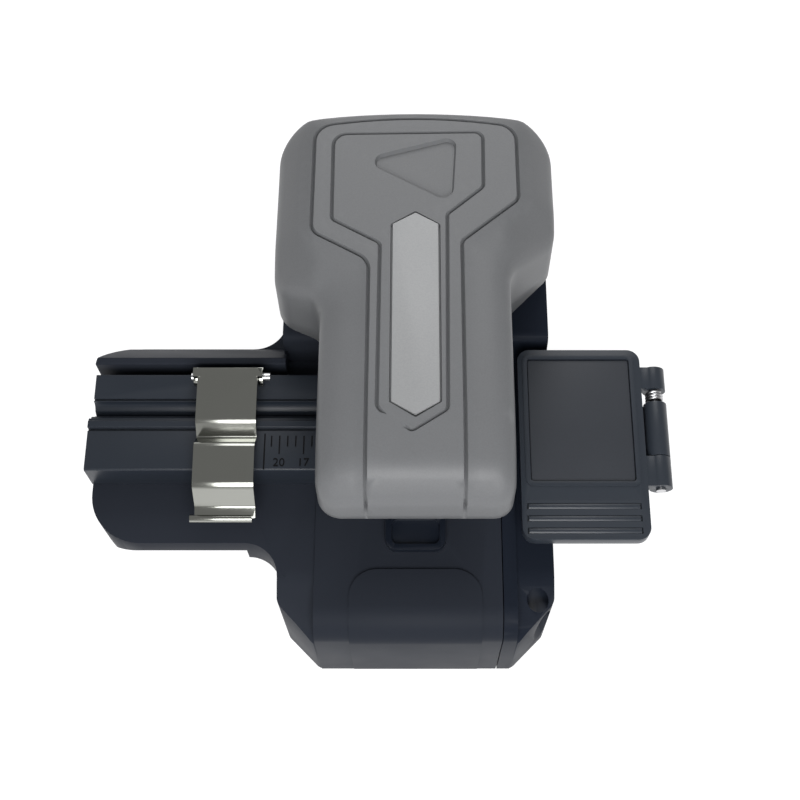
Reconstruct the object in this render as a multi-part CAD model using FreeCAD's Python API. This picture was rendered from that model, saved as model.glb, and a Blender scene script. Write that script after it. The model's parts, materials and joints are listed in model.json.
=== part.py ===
"""Handheld fibre cleaver: cross-shaped base, press lever, sliding blade carriage, holder and scrap bin.

Frame: +X runs along the fibre towards the scrap bin, +Y points away from the user, +Z is up.
The origin is on the table, below the middle of the overall length and depth. Lengths are in millimetres,
angles in degrees. The parts are drawn about the lever's centre line and moved to the origin at the end.
The lever is drawn pressed down, level over the pads, and is then raised about its pin to the rest pose.
"""

import FreeCAD, Part
import math
import os

Vector = FreeCAD.Vector

# ---------------------------------------------------------------- driving dimensions
# Heights above the table
foot_height = 0.8
casing_wall = 1.6
arm_top = 19.0
deck_top = 19.5
rear_top = 24.0
plate_top = 24.0
fibre_depth = 2.0

# Casing in plan
casing_half_width = 17.0
block_half_width = 12.4
casing_front = -29.8
casing_back = 28.5
corner_chamfer = 4.4
front_round = 3.7
blend_reach = 4.2
flank_fall = 3.0
parting_x = 10.6
seam_gap = 0.12
rear_front = 6.5
front_panel_half = 8.1
front_panel_back = -21.7
front_panel_rise = 0.3

# Left arm
arm_end = -40.6
arm_front = -18.15
arm_back = 8.4
arm_floor = 4.0
arm_inset = 5.2
rim_width = 0.9
rim_y = 3.9

# Fibre holder
plate_end = -40.7
plate_inner_end = -8.0
plate_front = -10.4
plate_back = 2.5
fibre_y = -2.4
channel_width = 2.2
channel_depth = 1.3
rail_height = 0.3
clamp_left = -27.0
clamp_right = -19.6
clamp_thickness = 0.45
clamp_axis_y = 1.55
clamp_axis_z = 25.25
clamp_pin_radius = 0.5
clamp_rise = 1.45

# Blade and carriage
blade_x = 3.3
blade_radius = 8.0
blade_thickness = 1.4
blade_bore = 1.85
blade_rest_offset = -4.8
carriage_travel = 8.5
carriage_length = 12.0
guide_radius = 1.0
guide_height = 5.6
guide_left_x = -8.0
guide_right_x = -1.0
guide_half_length = 19.0
drive_pin_radius = 1.2
drive_pin_height = 13.0
drive_pin_offset = -3.0
running_gap = 0.05

# Lever
hinge_y = 26.0
hinge_z = 26.0
hinge_pin_radius = 1.0
press_angle = 11.5
lever_gap = 0.4
lever_slope = 7.8
lever_height = 15.2
lever_front = -20.35
lever_back = 29.9
lever_reach = 32.16
lever_crown = 2.2
lever_bend = 4.2
wing_left_root = 4.4
wing_left_y = 7.4
wing_right_root = 8.0
wing_right_y = 14.8
wing_fall = 2.6
wing_crease = 13.4
lever_half_narrow = 11.2
lever_half_wide = 17.1
lever_wall = 1.5
keeper_reach = 2.6
shelf_drop = 0.6
panel_half_narrow = 5.5
panel_half_wide = 12.4
panel_root_left = 8.8
panel_root_right = 11.4
panel_left_y = 12.8
panel_right_y = 17.4
panel_back = 28.7
groove_width = 0.45
groove_depth = 0.35
badge_half_width = 2.75
badge_depth = 0.3
badge_front = -11.6
badge_back = 15.4
badge_point = 1.65
pad_spring_length = 2.0
frame_thickness = 1.6
frame_half_width = 9.4
ear_inner = 6.2
ear_outer = 9.2
cam_web = 1.7
pad_gap = 0.1
pad_thickness = 1.2
pad_half_depth = 3.2
pad_width = 3.8
pad_split = 1.5
carrier_thickness = 2.0

# Scrap bin
bin_left = 12.9
bin_right = 28.4
bin_lid_front = -19.3
bin_lid_back = 5.9
bin_lid_thickness = 1.6
bin_wall = 1.2
bin_floor = 4.0
bin_front = -13.4
bin_hinge_x = 30.15
bin_hinge_radius = 1.45
bin_pin_radius = 0.6

# Lock slide
lock_half_width = 3.7
lock_front = -19.5
lock_travel = 1.5
lock_rim = 0.75

# Strap hole
strap_radius = 1.3
strap_x = 14.8
strap_y = -24.9

# Bottom plate, posts and feet
plate_thickness = 1.5
post_spots = ((-12.6, -21.5), (7.6, -21.5), (-12.6, 20.5), (7.6, 20.5))
post_radius = 2.2
foot_radius = 2.6
foot_sink = 0.6
foot_spots = ((-6.0, -22.5), (12.2, -21.5), (-6.5, 23.0), (12.2, 21.5))
bottom_head = 1.7
small_pilot = 0.8

# Screws seen from the sides and below
side_screw_spots = ((-22.0, 8.0), (22.0, 8.0))
bracket_screw_spots = ((-12.9, 25.6), (12.9, 25.6))
holder_screw_inset = 6.6
holder_screw_pitch = 10.0
holder_screw_y = -4.0
holder_screw_seat = 12.0
bin_screw_ys = (-9.0, 1.0)
bin_screw_z = 14.0

# Places worked out from the sizes above
plate_floor = foot_height
flank_break = arm_front - blend_reach
fibre_height = plate_top - fibre_depth
lever_floor = plate_top + lever_gap
lever_top = lever_floor + lever_height
holder_screw_spots = (
    (arm_end + holder_screw_inset, holder_screw_y),
    (arm_end + holder_screw_inset + holder_screw_pitch, holder_screw_y),
)
plate_roof = plate_floor + plate_thickness
blade_slot = (blade_x - 1.1, blade_x + 1.1)
cam_x = (-5.4, -4.0)
rest_y = fibre_y + blade_rest_offset
rail_block_y = guide_half_length - 1.5
rail_screw_x = (guide_left_x + guide_right_x) / 2
spring_spots = (-5.5, 5.5)
spring_y = 12.0
spring_seat = 21.0
blade_height = fibre_height - 0.06 - blade_radius
lower_pad_top = fibre_height - pad_gap
carrier_floor = fibre_height + pad_thickness
carrier_roof = carrier_floor + carrier_thickness
frame_floor = carrier_roof + pad_spring_length
frame_roof = frame_floor + frame_thickness
stem_xs = (blade_x - 3.7, blade_x + 3.7)
lever_screw_spots = ((-7.2, -13.4), (7.2, -13.4), (-7.6, 18.0), (7.6, 18.0))
cam_screw_ys = (-8.8, -3.0)
cam_screw_x = -7.3
stem_radius = 0.8
anvil_radius = 0.9
spring_top = 29.3
bin_hinge_z = plate_top - 1.25
bin_knuckle_front = -8.4
bin_knuckle_back = -1.2
bin_lid_knuckles = ((-12.4, -8.5), (0.6, 3.5))
rib_pitch = 1.55
rib_radius = 0.5
rib_left = bin_left + 0.6
rib_front = bin_lid_front + 1.15
lip_width = 0.6
lip_height = 0.15
panel_sink = 0.5


# ---------------------------------------------------------------- helpers
def box(x0, x1, y0, y1, z0, z1):
    """Block between two corners."""
    return Part.makeBox(x1 - x0, y1 - y0, z1 - z0, Vector(x0, y0, z0))


def rod_x(y, z, radius, x0, x1):
    """Round bar along X."""
    return Part.makeCylinder(radius, x1 - x0, Vector(x0, y, z), Vector(1, 0, 0))


def rod_y(x, z, radius, y0, y1):
    """Round bar along Y."""
    return Part.makeCylinder(radius, y1 - y0, Vector(x, y0, z), Vector(0, 1, 0))


def rod_z(x, y, radius, z0, z1):
    """Round bar along Z."""
    return Part.makeCylinder(radius, z1 - z0, Vector(x, y, z0), Vector(0, 0, 1))


def inset_corners(corners, distance):
    """Rounded outline moved inwards by a distance; the corners run anticlockwise."""
    count = len(corners)
    moved = []
    for index in range(count):
        before = Vector(*corners[index - 1][:2], 0)
        here = Vector(*corners[index][:2], 0)
        after = Vector(*corners[(index + 1) % count][:2], 0)
        arrive = (here - before).normalize()
        leave = (after - here).normalize()
        inward = Vector(-arrive.y, arrive.x, 0) + Vector(-leave.y, leave.x, 0)
        shift = inward * (2 * distance / inward.dot(inward))
        convex = arrive.cross(leave).z > 0
        radius = corners[index][2]
        if radius > 0:
            radius = max(radius - distance, 0.2) if convex else radius + distance
        moved.append((here.x + shift.x, here.y + shift.y, radius))
    return moved


def rounded_wire(corners, to_space):
    """Closed wire through corners (a, b, radius); a radius turns its corner into a tangent arc."""
    count = len(corners)
    stretches = []
    for index in range(count):
        before = Vector(*corners[index - 1][:2], 0)
        here = Vector(*corners[index][:2], 0)
        after = Vector(*corners[(index + 1) % count][:2], 0)
        radius = corners[index][2]
        if radius == 0:
            stretches.append((here, None, here))
            continue
        back = (before - here).normalize()
        ahead = (after - here).normalize()
        half_angle = back.getAngle(ahead) / 2
        reach = radius / math.tan(half_angle)
        middle_way = (back + ahead).normalize()
        bulge = here + middle_way * (radius / math.sin(half_angle) - radius)
        stretches.append((here + back * reach, bulge, here + ahead * reach))
    edges = []
    for index in range(count):
        start, bulge, end = stretches[index]
        following = stretches[(index + 1) % count][0]
        if bulge is not None:
            edges.append(Part.Arc(to_space(start), to_space(bulge), to_space(end)).toShape())
        if end.distanceToPoint(following) > 1e-6:
            edges.append(Part.LineSegment(to_space(end), to_space(following)).toShape())
    return Part.Wire(edges)


def plan_prism(corners, z0, z1):
    """Outline in X and Y, extruded upwards."""
    wire = rounded_wire(corners, lambda p: Vector(p.x, p.y, z0))
    return Part.Face(wire).extrude(Vector(0, 0, z1 - z0))


def side_prism(corners, x0, x1):
    """Outline in Y and Z, extruded along X."""
    wire = rounded_wire(corners, lambda p: Vector(x0, p.x, p.y))
    return Part.Face(wire).extrude(Vector(x1 - x0, 0, 0))


def end_prism(corners, y0, y1):
    """Outline in X and Z, extruded along Y."""
    wire = rounded_wire(corners, lambda p: Vector(p.x, y0, p.y))
    return Part.Face(wire).extrude(Vector(0, y1 - y0, 0))


def rounded_box(x0, x1, y0, y1, z0, z1, radius):
    """Block with its four upright edges rounded."""
    corners = [(x0, y0, radius), (x1, y0, radius), (x1, y1, radius), (x0, y1, radius)]
    return plan_prism(corners, z0, z1)


def joined(solids):
    """One solid from several that touch or overlap."""
    whole = solids[0].multiFuse(solids[1:])
    return whole.removeSplitter()


def group(solids):
    """Separate solids kept together in one node."""
    return Part.makeCompound(solids)


def raised(shape):
    """The same piece of the lever after the lever has swung up to its rest pose."""
    turned = shape.copy()
    turned.rotate(Vector(0, hinge_y, hinge_z), Vector(1, 0, 0), -press_angle)
    return turned


def screw_z(x, y, seat, tip, head_radius, shank_radius, head_height):
    """Screw along Z, its head below the seat and its shank running from the seat to the tip."""
    away = -1 if tip > seat else 1
    head_end = seat + away * head_height
    head = rod_z(x, y, head_radius, min(seat, head_end), max(seat, head_end))
    shank = rod_z(x, y, shank_radius, min(seat, tip), max(seat, tip))
    socket_end = head_end - away * head_height * 0.5
    socket = rod_z(x, y, head_radius * 0.45, min(head_end, socket_end), max(head_end, socket_end))
    return head.fuse(shank).cut(socket)


def screw_x(y, z, seat, tip, head_radius, shank_radius, head_height):
    """Screw along X with its head on the +X side of the seat."""
    head = rod_x(y, z, head_radius, seat, seat + head_height)
    shank = rod_x(y, z, shank_radius, tip, seat)
    socket = rod_x(y, z, head_radius * 0.45, seat + head_height * 0.5, seat + head_height)
    return head.fuse(shank).cut(socket)


def coil_sleeve(x, y, z0, z1, coil_radius, wire_radius, turns):
    """Coil spring along Z as one closed sleeve with a ridge for each turn it shows."""
    pitch = (z1 - z0) / turns
    waist = coil_radius + wire_radius * 0.3
    outline = [Vector(coil_radius - wire_radius, 0, z1), Vector(coil_radius - wire_radius, 0, z0)]
    for turn in range(turns):
        low = z0 + turn * pitch
        outline.append(Vector(waist, 0, low))
        outline.append(Vector(coil_radius + wire_radius, 0, low + pitch / 2))
    outline.append(Vector(waist, 0, z1))
    outline.append(outline[0])
    sleeve = Part.Face(Part.makePolygon(outline)).revolve(Vector(0, 0, 0), Vector(0, 0, 1), 360)
    sleeve.translate(Vector(x, y, 0))
    return sleeve


# ---------------------------------------------------------------- casing
def casing_plan(inset):
    """Outline of the casing with both front corners cut off, moved inwards by an inset."""
    side = casing_half_width
    corners = [
        (-side, casing_front + corner_chamfer, 1.5),
        (-side + corner_chamfer, casing_front, 1.5),
        (side - corner_chamfer, casing_front, 1.5),
        (side, casing_front + corner_chamfer, 1.5),
        (side, casing_back, 4.0),
        (-side, casing_back, 4.0),
    ]
    return inset_corners(corners, inset)


def front_rounded(top, inset):
    """Side outline of the casing up to a height, with its upper front edge rounded."""
    front = casing_front + inset
    back = casing_back - inset
    return [
        (front, foot_height, 0),
        (front, top, front_round - inset),
        (back, top, 0),
        (back, foot_height, 0),
    ]


def flank_side(inset, below=0):
    """Side outline of the casing's flanks, which fall gently towards their rounded front."""
    corners = [
        (casing_front, foot_height - below, 0),
        (casing_back, foot_height - below, 0),
        (casing_back, arm_top, 0),
        (flank_break, arm_top, 6.0),
        (casing_front, arm_top - flank_fall, front_round),
    ]
    return inset_corners(corners, inset)


def arm_outline(inset):
    """Plan outline of the left arm, moved inwards by an inset, running into the casing."""
    inside = -block_half_width - 1.0
    return [
        (arm_end + inset, arm_front + inset, 6.5),
        (inside, arm_front + inset, 0),
        (inside, arm_back - inset, 0),
        (arm_end + inset, arm_back - inset, 5.0),
    ]


def arm_hull():
    """Left arm, wide at its top and drawn in below like a boat's hull."""
    inside = -block_half_width - 1.0
    side_edge = arm_top - 3.2
    across = [
        (arm_end, side_edge, 2.0), (arm_end + arm_inset + 1.0, arm_floor, 3.0), (inside, arm_floor, 0),
        (inside, arm_top, 0), (arm_end, arm_top, 0),
    ]
    along = [
        (arm_front, side_edge, 2.0), (arm_front + arm_inset, arm_floor, 3.0),
        (arm_back - arm_inset, arm_floor, 3.0), (arm_back, side_edge, 2.0),
        (arm_back, arm_top, 0), (arm_front, arm_top, 0),
    ]
    hull = plan_prism(arm_outline(0), arm_floor, arm_top)
    hull = hull.common(end_prism(across, arm_front - 1, arm_back + 1))
    return hull.common(side_prism(along, arm_end - 1, inside + 1))


def arm_blends():
    """Curved webs in plan between the arm and the casing's side, front and back."""
    side = -casing_half_width
    reach = blend_reach
    webs = []
    for edge_y, outward in ((arm_front, -1), (arm_back, 1)):
        square = box(
            side - reach, side + 1.0,
            min(edge_y, edge_y + outward * reach), max(edge_y, edge_y + outward * reach),
            arm_top - 6.0, arm_top,
        )
        round_cut = rod_z(side - reach, edge_y + outward * reach, reach, arm_top - 7.0, arm_top + 1.0)
        webs.append(square.cut(round_cut))
    return webs


def arm_rim():
    """Raised rim behind the holder plate; it slopes down to the arm's back edge."""
    corners = [
        (rim_y, arm_top - 0.5, 0),
        (rim_y, plate_top, 0.2),
        (rim_y + rim_width, plate_top, 0.3),
        (arm_back - 0.3, arm_top + 0.6, 0.3),
        (arm_back, arm_top - 0.5, 0),
    ]
    strip = side_prism(corners, arm_end, -casing_half_width + 0.5)
    end_limit = plan_prism(arm_outline(0), arm_top - 1.0, plate_top + 1.0)
    return strip.common(end_limit)


def rear_block():
    """Raised rear of the casing that carries the lever's hinge."""
    corners = [
        (rear_front, arm_top - 1.0, 0),
        (rear_front + 1.0, rear_top, 1.2),
        (casing_back, rear_top, 1.0),
        (casing_back, arm_top - 1.0, 0),
    ]
    return side_prism(corners, -20, 20).common(plan_prism(casing_plan(0), arm_top - 1.0, rear_top + 1))


def front_panel():
    """Slightly raised panel that runs over the casing's rounded front edge."""
    outline = [
        (-front_panel_half, casing_front - 1, 0), (front_panel_half, casing_front - 1, 0),
        (front_panel_half, front_panel_back, 3.4), (-front_panel_half, front_panel_back, 3.4),
    ]
    skin = side_prism(front_rounded(deck_top + front_panel_rise, -front_panel_rise), -20, 20)
    return plan_prism(outline, foot_height + 1.2, deck_top + 1).common(skin)


def full_casing():
    """The whole casing in one piece, before it is parted into base body and side cover."""
    flanks = plan_prism(casing_plan(0), foot_height, arm_top)
    flanks = flanks.common(side_prism(flank_side(0), -20, 20))
    block = side_prism(front_rounded(deck_top, 0), -block_half_width, block_half_width)
    outer = joined([flanks, block, rear_block(), arm_hull(), arm_rim(), front_panel()] + arm_blends())

    wall = casing_wall
    low = plan_prism(casing_plan(wall), foot_height - 1, arm_top - wall)
    low = low.common(box(-20, 20, casing_front + front_round, casing_back, 0, 20))
    low = low.common(side_prism(flank_side(wall, foot_height + 1), -20, 20))
    high = box(
        wall - block_half_width, block_half_width - wall,
        casing_front + front_round, rear_front + 2 * wall, foot_height, deck_top - wall,
    )
    rear = box(
        wall - casing_half_width, casing_half_width - wall,
        rear_front + 1.0 + wall, casing_back - wall - 1.0, foot_height, rear_top - wall,
    )
    return outer.cut(joined([low, high, rear]))


def casing_posts():
    """Posts for the bottom screws, standing between bottom plate and roof."""
    posts = []
    for x, y in post_spots:
        roof = rear_top if y > rear_front else deck_top
        posts.append(rod_z(x, y, post_radius, plate_roof, roof - casing_wall + 0.2))
    return posts


def side_bosses(x0, x1):
    """Bosses for the side screws between two planes."""
    return [rod_x(y, z, 2.4, x0, x1) for y, z in side_screw_spots]


def deck_cuts():
    """Slots in the deck for the blade, the cam and the lock slide, and the holder plate's seat."""
    reach = 7.4
    blade = box(*blade_slot, rest_y - reach, rest_y + carriage_travel + reach, deck_top - 3.0, rear_top - 3.0)
    cam = box(cam_x[0] - 0.5, cam_x[1] + 0.5, -13.4, 1.2, deck_top - 3, deck_top + 1)
    lock = box(-1.0, 1.0, lock_front + 2.2 - lock_travel, lock_front + 4.4, deck_top - 3, deck_top + 1)
    seat = box(plate_end - 1, plate_inner_end + 0.1, plate_front - 0.1, plate_back + 0.1, arm_top, rear_top)
    gap = box(plate_end - 1, -casing_half_width, plate_back, rim_y, arm_top - 3.0, rear_top)
    return [blade, cam, lock, seat, gap]


def spring_pockets():
    """Cups in the rear block that hold the lever springs."""
    cups = []
    for x in spring_spots:
        cups.append(rod_z(x, spring_y, 3.4, spring_seat - 1.2, rear_top - 0.5))
    return cups


def strap_bore():
    """Slanting hole through the right front corner."""
    start = Vector(strap_x, strap_y, arm_top)
    way = Vector(0.14, -0.16, -0.98)
    return Part.makeCylinder(strap_radius, arm_top + 1.0, start - way, way)


def base_body():
    """Casing left of the parting plane, with posts, bosses and the slots in its deck."""
    left = full_casing().common(box(-60, parting_x, -60, 60, 0, 60))
    bracket_boss = rod_z(*bracket_screw_spots[0], 2.0, rear_top - 5.0, rear_top - 0.5)
    bosses = side_bosses(parting_x - 4.0, parting_x) + [bracket_boss]
    shape = joined([left] + casing_posts() + bosses + spring_pockets())
    for cut in deck_cuts():
        shape = shape.cut(cut)
    for x in spring_spots:
        shape = shape.cut(rod_z(x, spring_y, 2.6, spring_seat, rear_top + 1))
    for x, y in post_spots:
        shape = shape.cut(rod_z(x, y, small_pilot, plate_roof - 1, plate_roof + 7.0))
    for y, z in side_screw_spots:
        shape = shape.cut(rod_x(y, z, 0.8, parting_x - 3.9, parting_x + 1))
    x, y = bracket_screw_spots[0]
    shape = shape.cut(rod_z(x, y, small_pilot, rear_top - 4.0, rear_top + 1))
    for x, y in holder_screw_spots:
        shape = shape.cut(rod_z(x, y, 0.8, arm_floor - 1, arm_top + 1))
        shape = shape.cut(rod_z(x, y, 1.6, arm_floor - 1, holder_screw_seat))
    return shape


def side_cover():
    """Casing right of the parting plane: right flank, seat of the bin and strap hole."""
    right = full_casing().common(box(parting_x + seam_gap, 60, -60, 60, 0, 60))
    corner = plan_prism(casing_plan(0.2), plate_roof + 0.05, arm_top - 0.3)
    corner = corner.common(side_prism(flank_side(0.3), -20, 20))
    corner = corner.common(box(block_half_width, 20, -40, -19.5, 0, 60))
    bracket_boss = rod_z(*bracket_screw_spots[1], 2.0, rear_top - 5.0, rear_top - 0.5)
    bosses = side_bosses(parting_x + seam_gap, casing_half_width - 0.8) + [bracket_boss]
    shape = joined([right, corner] + bosses)
    shape = shape.cut(strap_bore())
    x, y = bracket_screw_spots[1]
    shape = shape.cut(rod_z(x, y, small_pilot, rear_top - 4.0, rear_top + 1))
    for y, z in side_screw_spots:
        shape = shape.cut(rod_x(y, z, 1.0, parting_x, casing_half_width + 1))
        shape = shape.cut(rod_x(y, z, 1.9, casing_half_width - 1.4, casing_half_width + 1))
    for y in bin_screw_ys:
        shape = shape.cut(rod_x(y, bin_screw_z, 0.7, parting_x, casing_half_width + 1))
    return shape


def bottom_plate():
    """Plate closing the underside, with countersunk holes and foot recesses."""
    inset = casing_wall + 0.1
    shape = plan_prism(casing_plan(inset), plate_floor, plate_roof)
    shape = shape.common(box(-20, 20, casing_front + front_round + 0.1, casing_back, 0, 20))
    rail_spots = ((rail_screw_x, -rail_block_y), (rail_screw_x, rail_block_y))
    for x, y in post_spots + rail_spots:
        shape = shape.cut(rod_z(x, y, small_pilot, 0, 5))
        shape = shape.cut(rod_z(x, y, bottom_head, 0, plate_floor + 0.8))
    for x, y in foot_spots:
        shape = shape.cut(rod_z(x, y, foot_radius, 0, plate_floor + foot_sink))
    return shape




def rubber_feet():
    """Four round feet pressed into the bottom plate."""
    return group([rod_z(x, y, foot_radius, 0, plate_floor + foot_sink) for x, y in foot_spots])


def bottom_screws():
    """Screws that hold the bottom plate to the posts."""
    seat = plate_floor + 0.8
    return group([screw_z(x, y, seat, seat + 5.5, bottom_head, small_pilot, 0.7) for x, y in post_spots])


def side_screws():
    """Screws that hold the side cover to the base body."""
    seat = casing_half_width - 1.4
    return group([screw_x(y, z, seat, parting_x - 3.6, 1.85, 0.8, 0.9) for y, z in side_screw_spots])


# ---------------------------------------------------------------- fibre holder
def plate_outline():
    """End view of the holder plate: back ledge, groove, fibre channel seat, rail and main flat."""
    rail_back = fibre_y - channel_width / 2 - 0.4
    rail_front = rail_back - 0.95
    return [
        (plate_front, arm_top, 0),
        (plate_front, plate_top, 0.3),
        (rail_front - 0.35, plate_top, 0),
        (rail_front - 0.35, plate_top - 0.4, 0),
        (rail_front, plate_top - 0.4, 0),
        (rail_front, plate_top + rail_height, 0.12),
        (rail_back, plate_top + rail_height, 0.12),
        (rail_back, plate_top, 0),
        (plate_back, plate_top, 0.25),
        (plate_back, arm_top, 0),
    ]


def holder_plate():
    """Plate that the stripped fibre lies in, with the pin lug of the spring clamp."""
    shape = side_prism(plate_outline(), plate_end, plate_inner_end)
    channel_radius = channel_width / 2 + 0.05
    channel_centre = plate_top - channel_depth + channel_radius
    shape = shape.cut(rod_x(fibre_y, channel_centre, channel_radius, plate_end - 1, 0))
    vee = [
        (fibre_y - 0.45, channel_centre - channel_radius + 0.3, 0),
        (fibre_y, fibre_height - 0.06, 0),
        (fibre_y + 0.45, channel_centre - channel_radius + 0.3, 0),
    ]
    shape = shape.cut(side_prism(vee, plate_end - 1, 0))
    for groove_y in (fibre_y + channel_width / 2 + 0.3,):
        groove = box(plate_end - 1, 0, groove_y - 0.15, groove_y + 0.15, plate_top - 0.4, plate_top + 1)
        shape = shape.cut(groove)
    step = box(plate_end - 1, plate_end + 0.4, fibre_y - 0.4, plate_back + 1, arm_top + 1, plate_top + 1)
    shape = shape.cut(step)
    lug_left = clamp_left + 0.4
    lug_right = clamp_right - 2.0
    lug = rod_x(clamp_axis_y, clamp_axis_z, 0.8, lug_left, lug_right)
    foot = box(lug_left, lug_right, clamp_axis_y - 0.8, clamp_axis_y + 0.8, plate_top - 0.3, clamp_axis_z)
    shape = joined([shape, lug, foot])
    shape = shape.cut(rod_x(clamp_axis_y, clamp_axis_z, clamp_pin_radius, lug_left - 1, lug_right + 1))
    for x, y in holder_screw_spots:
        shape = shape.cut(rod_z(x, y, small_pilot, arm_top - 1, arm_top + 2.4))
    return shape


def holder_screws():
    """Screws up through the arm into the holder plate."""
    tip = arm_top + 2.2
    seat = holder_screw_seat
    return group([screw_z(x, y, seat, tip, 1.55, small_pilot, 1.0) for x, y in holder_screw_spots])


def strip_outline(way, thickness):
    """Outline of a bent strip from its middle line, given as points (a, b, bend radius)."""
    count = len(way)
    near = []
    far = []
    for index in range(count):
        here = Vector(*way[index][:2], 0)
        arrive = (here - Vector(*way[index - 1][:2], 0)) if index > 0 else None
        leave = (Vector(*way[index + 1][:2], 0) - here) if index < count - 1 else None
        arrive = (arrive or leave).normalize()
        leave = (leave or arrive).normalize()
        across = Vector(-arrive.y, arrive.x, 0) + Vector(-leave.y, leave.x, 0)
        shift = across * (thickness / across.dot(across))
        turn = arrive.cross(leave).z
        half = thickness / 2 if turn > 0 else -thickness / 2
        radius = way[index][2]
        near.append((here.x + shift.x, here.y + shift.y, max(radius - half, 0)))
        far.append((here.x - shift.x, here.y - shift.y, max(radius + half, 0)))
    return near + far[::-1]


def fibre_clamp():
    """Bent spring-steel strip on its pin: presses the fibre and ends in a rolled finger lip."""
    way = [
        (clamp_axis_y + 0.55, clamp_axis_z + clamp_rise, 0),
        (-4.7, clamp_axis_z + 1.0, 0.9),
        (-6.35, plate_top + 0.05 + clamp_thickness / 2, 0.4),
        (-7.9, clamp_axis_z + 0.95, 0.8),
        (-12.9, clamp_axis_z + 0.35, 1.2),
        (-14.5, plate_top - 1.5, 0.7),
        (-15.9, plate_top - 2.0, 0),
    ]
    strip = side_prism(strip_outline(way, clamp_thickness), clamp_left, clamp_right)
    roll = rod_x(-15.95, plate_top - 2.05, 0.5, clamp_left - 0.6, clamp_right - 0.4)
    parts = [strip, roll]
    for x0, x1 in ((clamp_left - 0.6, clamp_left), (clamp_right, clamp_right + 0.6)):
        neck_roof = clamp_axis_z + clamp_rise + 0.2
        neck = box(x0, x1, clamp_axis_y - 0.65, clamp_axis_y + 0.55, clamp_axis_z, neck_roof)
        parts.append(neck)
        parts.append(rod_x(clamp_axis_y, clamp_axis_z, 1.2, x0, x1))
        x_tie = (x0 - 0.01, x1 + 0.3) if x0 < clamp_left else (x0 - 0.3, x1 + 0.01)
        tie_z = clamp_axis_z + clamp_rise - clamp_thickness / 2
        parts.append(box(*x_tie, clamp_axis_y - 0.65, clamp_axis_y + 0.5, tie_z, tie_z + 0.44))
    shape = joined(parts)
    bore = clamp_pin_radius + running_gap
    return shape.cut(rod_x(clamp_axis_y, clamp_axis_z, bore, clamp_left - 2, clamp_right + 2))


def clamp_pin():
    """Pin of the spring clamp."""
    return rod_x(clamp_axis_y, clamp_axis_z, clamp_pin_radius, clamp_left - 1.0, clamp_right + 1.4)


def clamp_spring():
    """Coil on the clamp's pin that holds the clamp shut."""
    sleeve = coil_sleeve(0, 0, 0, 1.5, 0.76, 0.18, 4)
    sleeve.rotate(Vector(0, 0, 0), Vector(0, 1, 0), 90)
    sleeve.translate(Vector(clamp_right - 1.9, clamp_axis_y, clamp_axis_z))
    return sleeve


def pad_spans():
    """X spans of the two pads, one on each side of the blade."""
    return (
        (blade_x - pad_split - pad_width, blade_x - pad_split),
        (blade_x + pad_split, blade_x + pad_split + pad_width),
    )


def fibre_rests():
    """Two metal blocks on the deck, one each side of the blade."""
    return group([
        box(x0, x1, fibre_y - pad_half_depth, fibre_y + pad_half_depth, deck_top, lower_pad_top - 1.0)
        for x0, x1 in pad_spans()
    ])


def lower_pads():
    """Rubber pads on the fibre rests."""
    return group([
        box(x0 + 0.3, x1 - 0.3, fibre_y - pad_half_depth + 0.3, fibre_y + pad_half_depth - 0.3,
            lower_pad_top - 1.0, lower_pad_top)
        for x0, x1 in pad_spans()
    ])


# ---------------------------------------------------------------- blade drive
def rail_blocks():
    """Two blocks that hold the ends of the guide rods."""
    blocks = []
    for y in (-rail_block_y, rail_block_y):
        block = box(guide_left_x - 2, guide_right_x + 2, y - 1.5, y + 1.5, plate_roof, guide_height + 2.0)
        for x in (guide_left_x, guide_right_x):
            block = block.cut(rod_y(x, guide_height, guide_radius, y - 2, y + 2))
        blocks.append(block.cut(rod_z(rail_screw_x, y, small_pilot, 0, plate_roof + 4.2)))
    return group(blocks)


def rail_screws():
    """Screws from below into the rail blocks."""
    seat = plate_floor + 0.8
    return group([
        screw_z(rail_screw_x, y, seat, seat + 4.5, bottom_head, small_pilot, 0.7)
        for y in (-rail_block_y, rail_block_y)
    ])


def guide_rods():
    """Two ground rods that the carriage runs on."""
    return group([
        rod_y(x, guide_height, guide_radius, -guide_half_length, guide_half_length)
        for x in (guide_left_x, guide_right_x)
    ])


def blade_carriage():
    """Forked sledge with one upright for the drive pin and one for the blade."""
    floor = guide_height - 2.2
    roof = guide_height + 2.6
    right = blade_x - 1.1
    left = guide_left_x - 1.8
    front = rest_y - carriage_length / 2
    sledge = box(left, right, front, front + carriage_length, floor, roof)
    fork = box(cam_x[0] - 0.6, cam_x[1] + 0.6, front - 1, front + carriage_length - 3, floor - 1, roof + 1)
    sledge = sledge.cut(fork)
    blade_post = side_prism(
        [
            (rest_y - 3.5, roof, 0), (rest_y + 3.5, roof, 0),
            (rest_y + 2.4, blade_height + 2.4, 2.0), (rest_y - 2.4, blade_height + 2.4, 2.0),
        ],
        right - 1.5, right,
    )
    pin_y = rest_y + drive_pin_offset
    pin_post = side_prism(
        [
            (pin_y - 2.6, roof, 0), (pin_y + 2.6, roof, 0),
            (pin_y + 1.9, drive_pin_height + 1.9, 1.7), (pin_y - 1.9, drive_pin_height + 1.9, 1.7),
        ],
        left + 0.9, left + 2.5,
    )
    shape = joined([sledge, blade_post, pin_post])
    for x in (guide_left_x, guide_right_x):
        shape = shape.cut(rod_y(x, guide_height, guide_radius + running_gap, front - 1, front + 20))
    shape = shape.cut(rod_x(pin_y, drive_pin_height, drive_pin_radius, left, left + 3))
    return shape.cut(rod_x(rest_y, blade_height, small_pilot, right - 3, right + 1))


def drive_pin():
    """Pin on the carriage that runs in the cam's slot."""
    left = guide_left_x - 0.9
    return rod_x(rest_y + drive_pin_offset, drive_pin_height, drive_pin_radius, left, cam_x[1] + 0.4)


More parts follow.
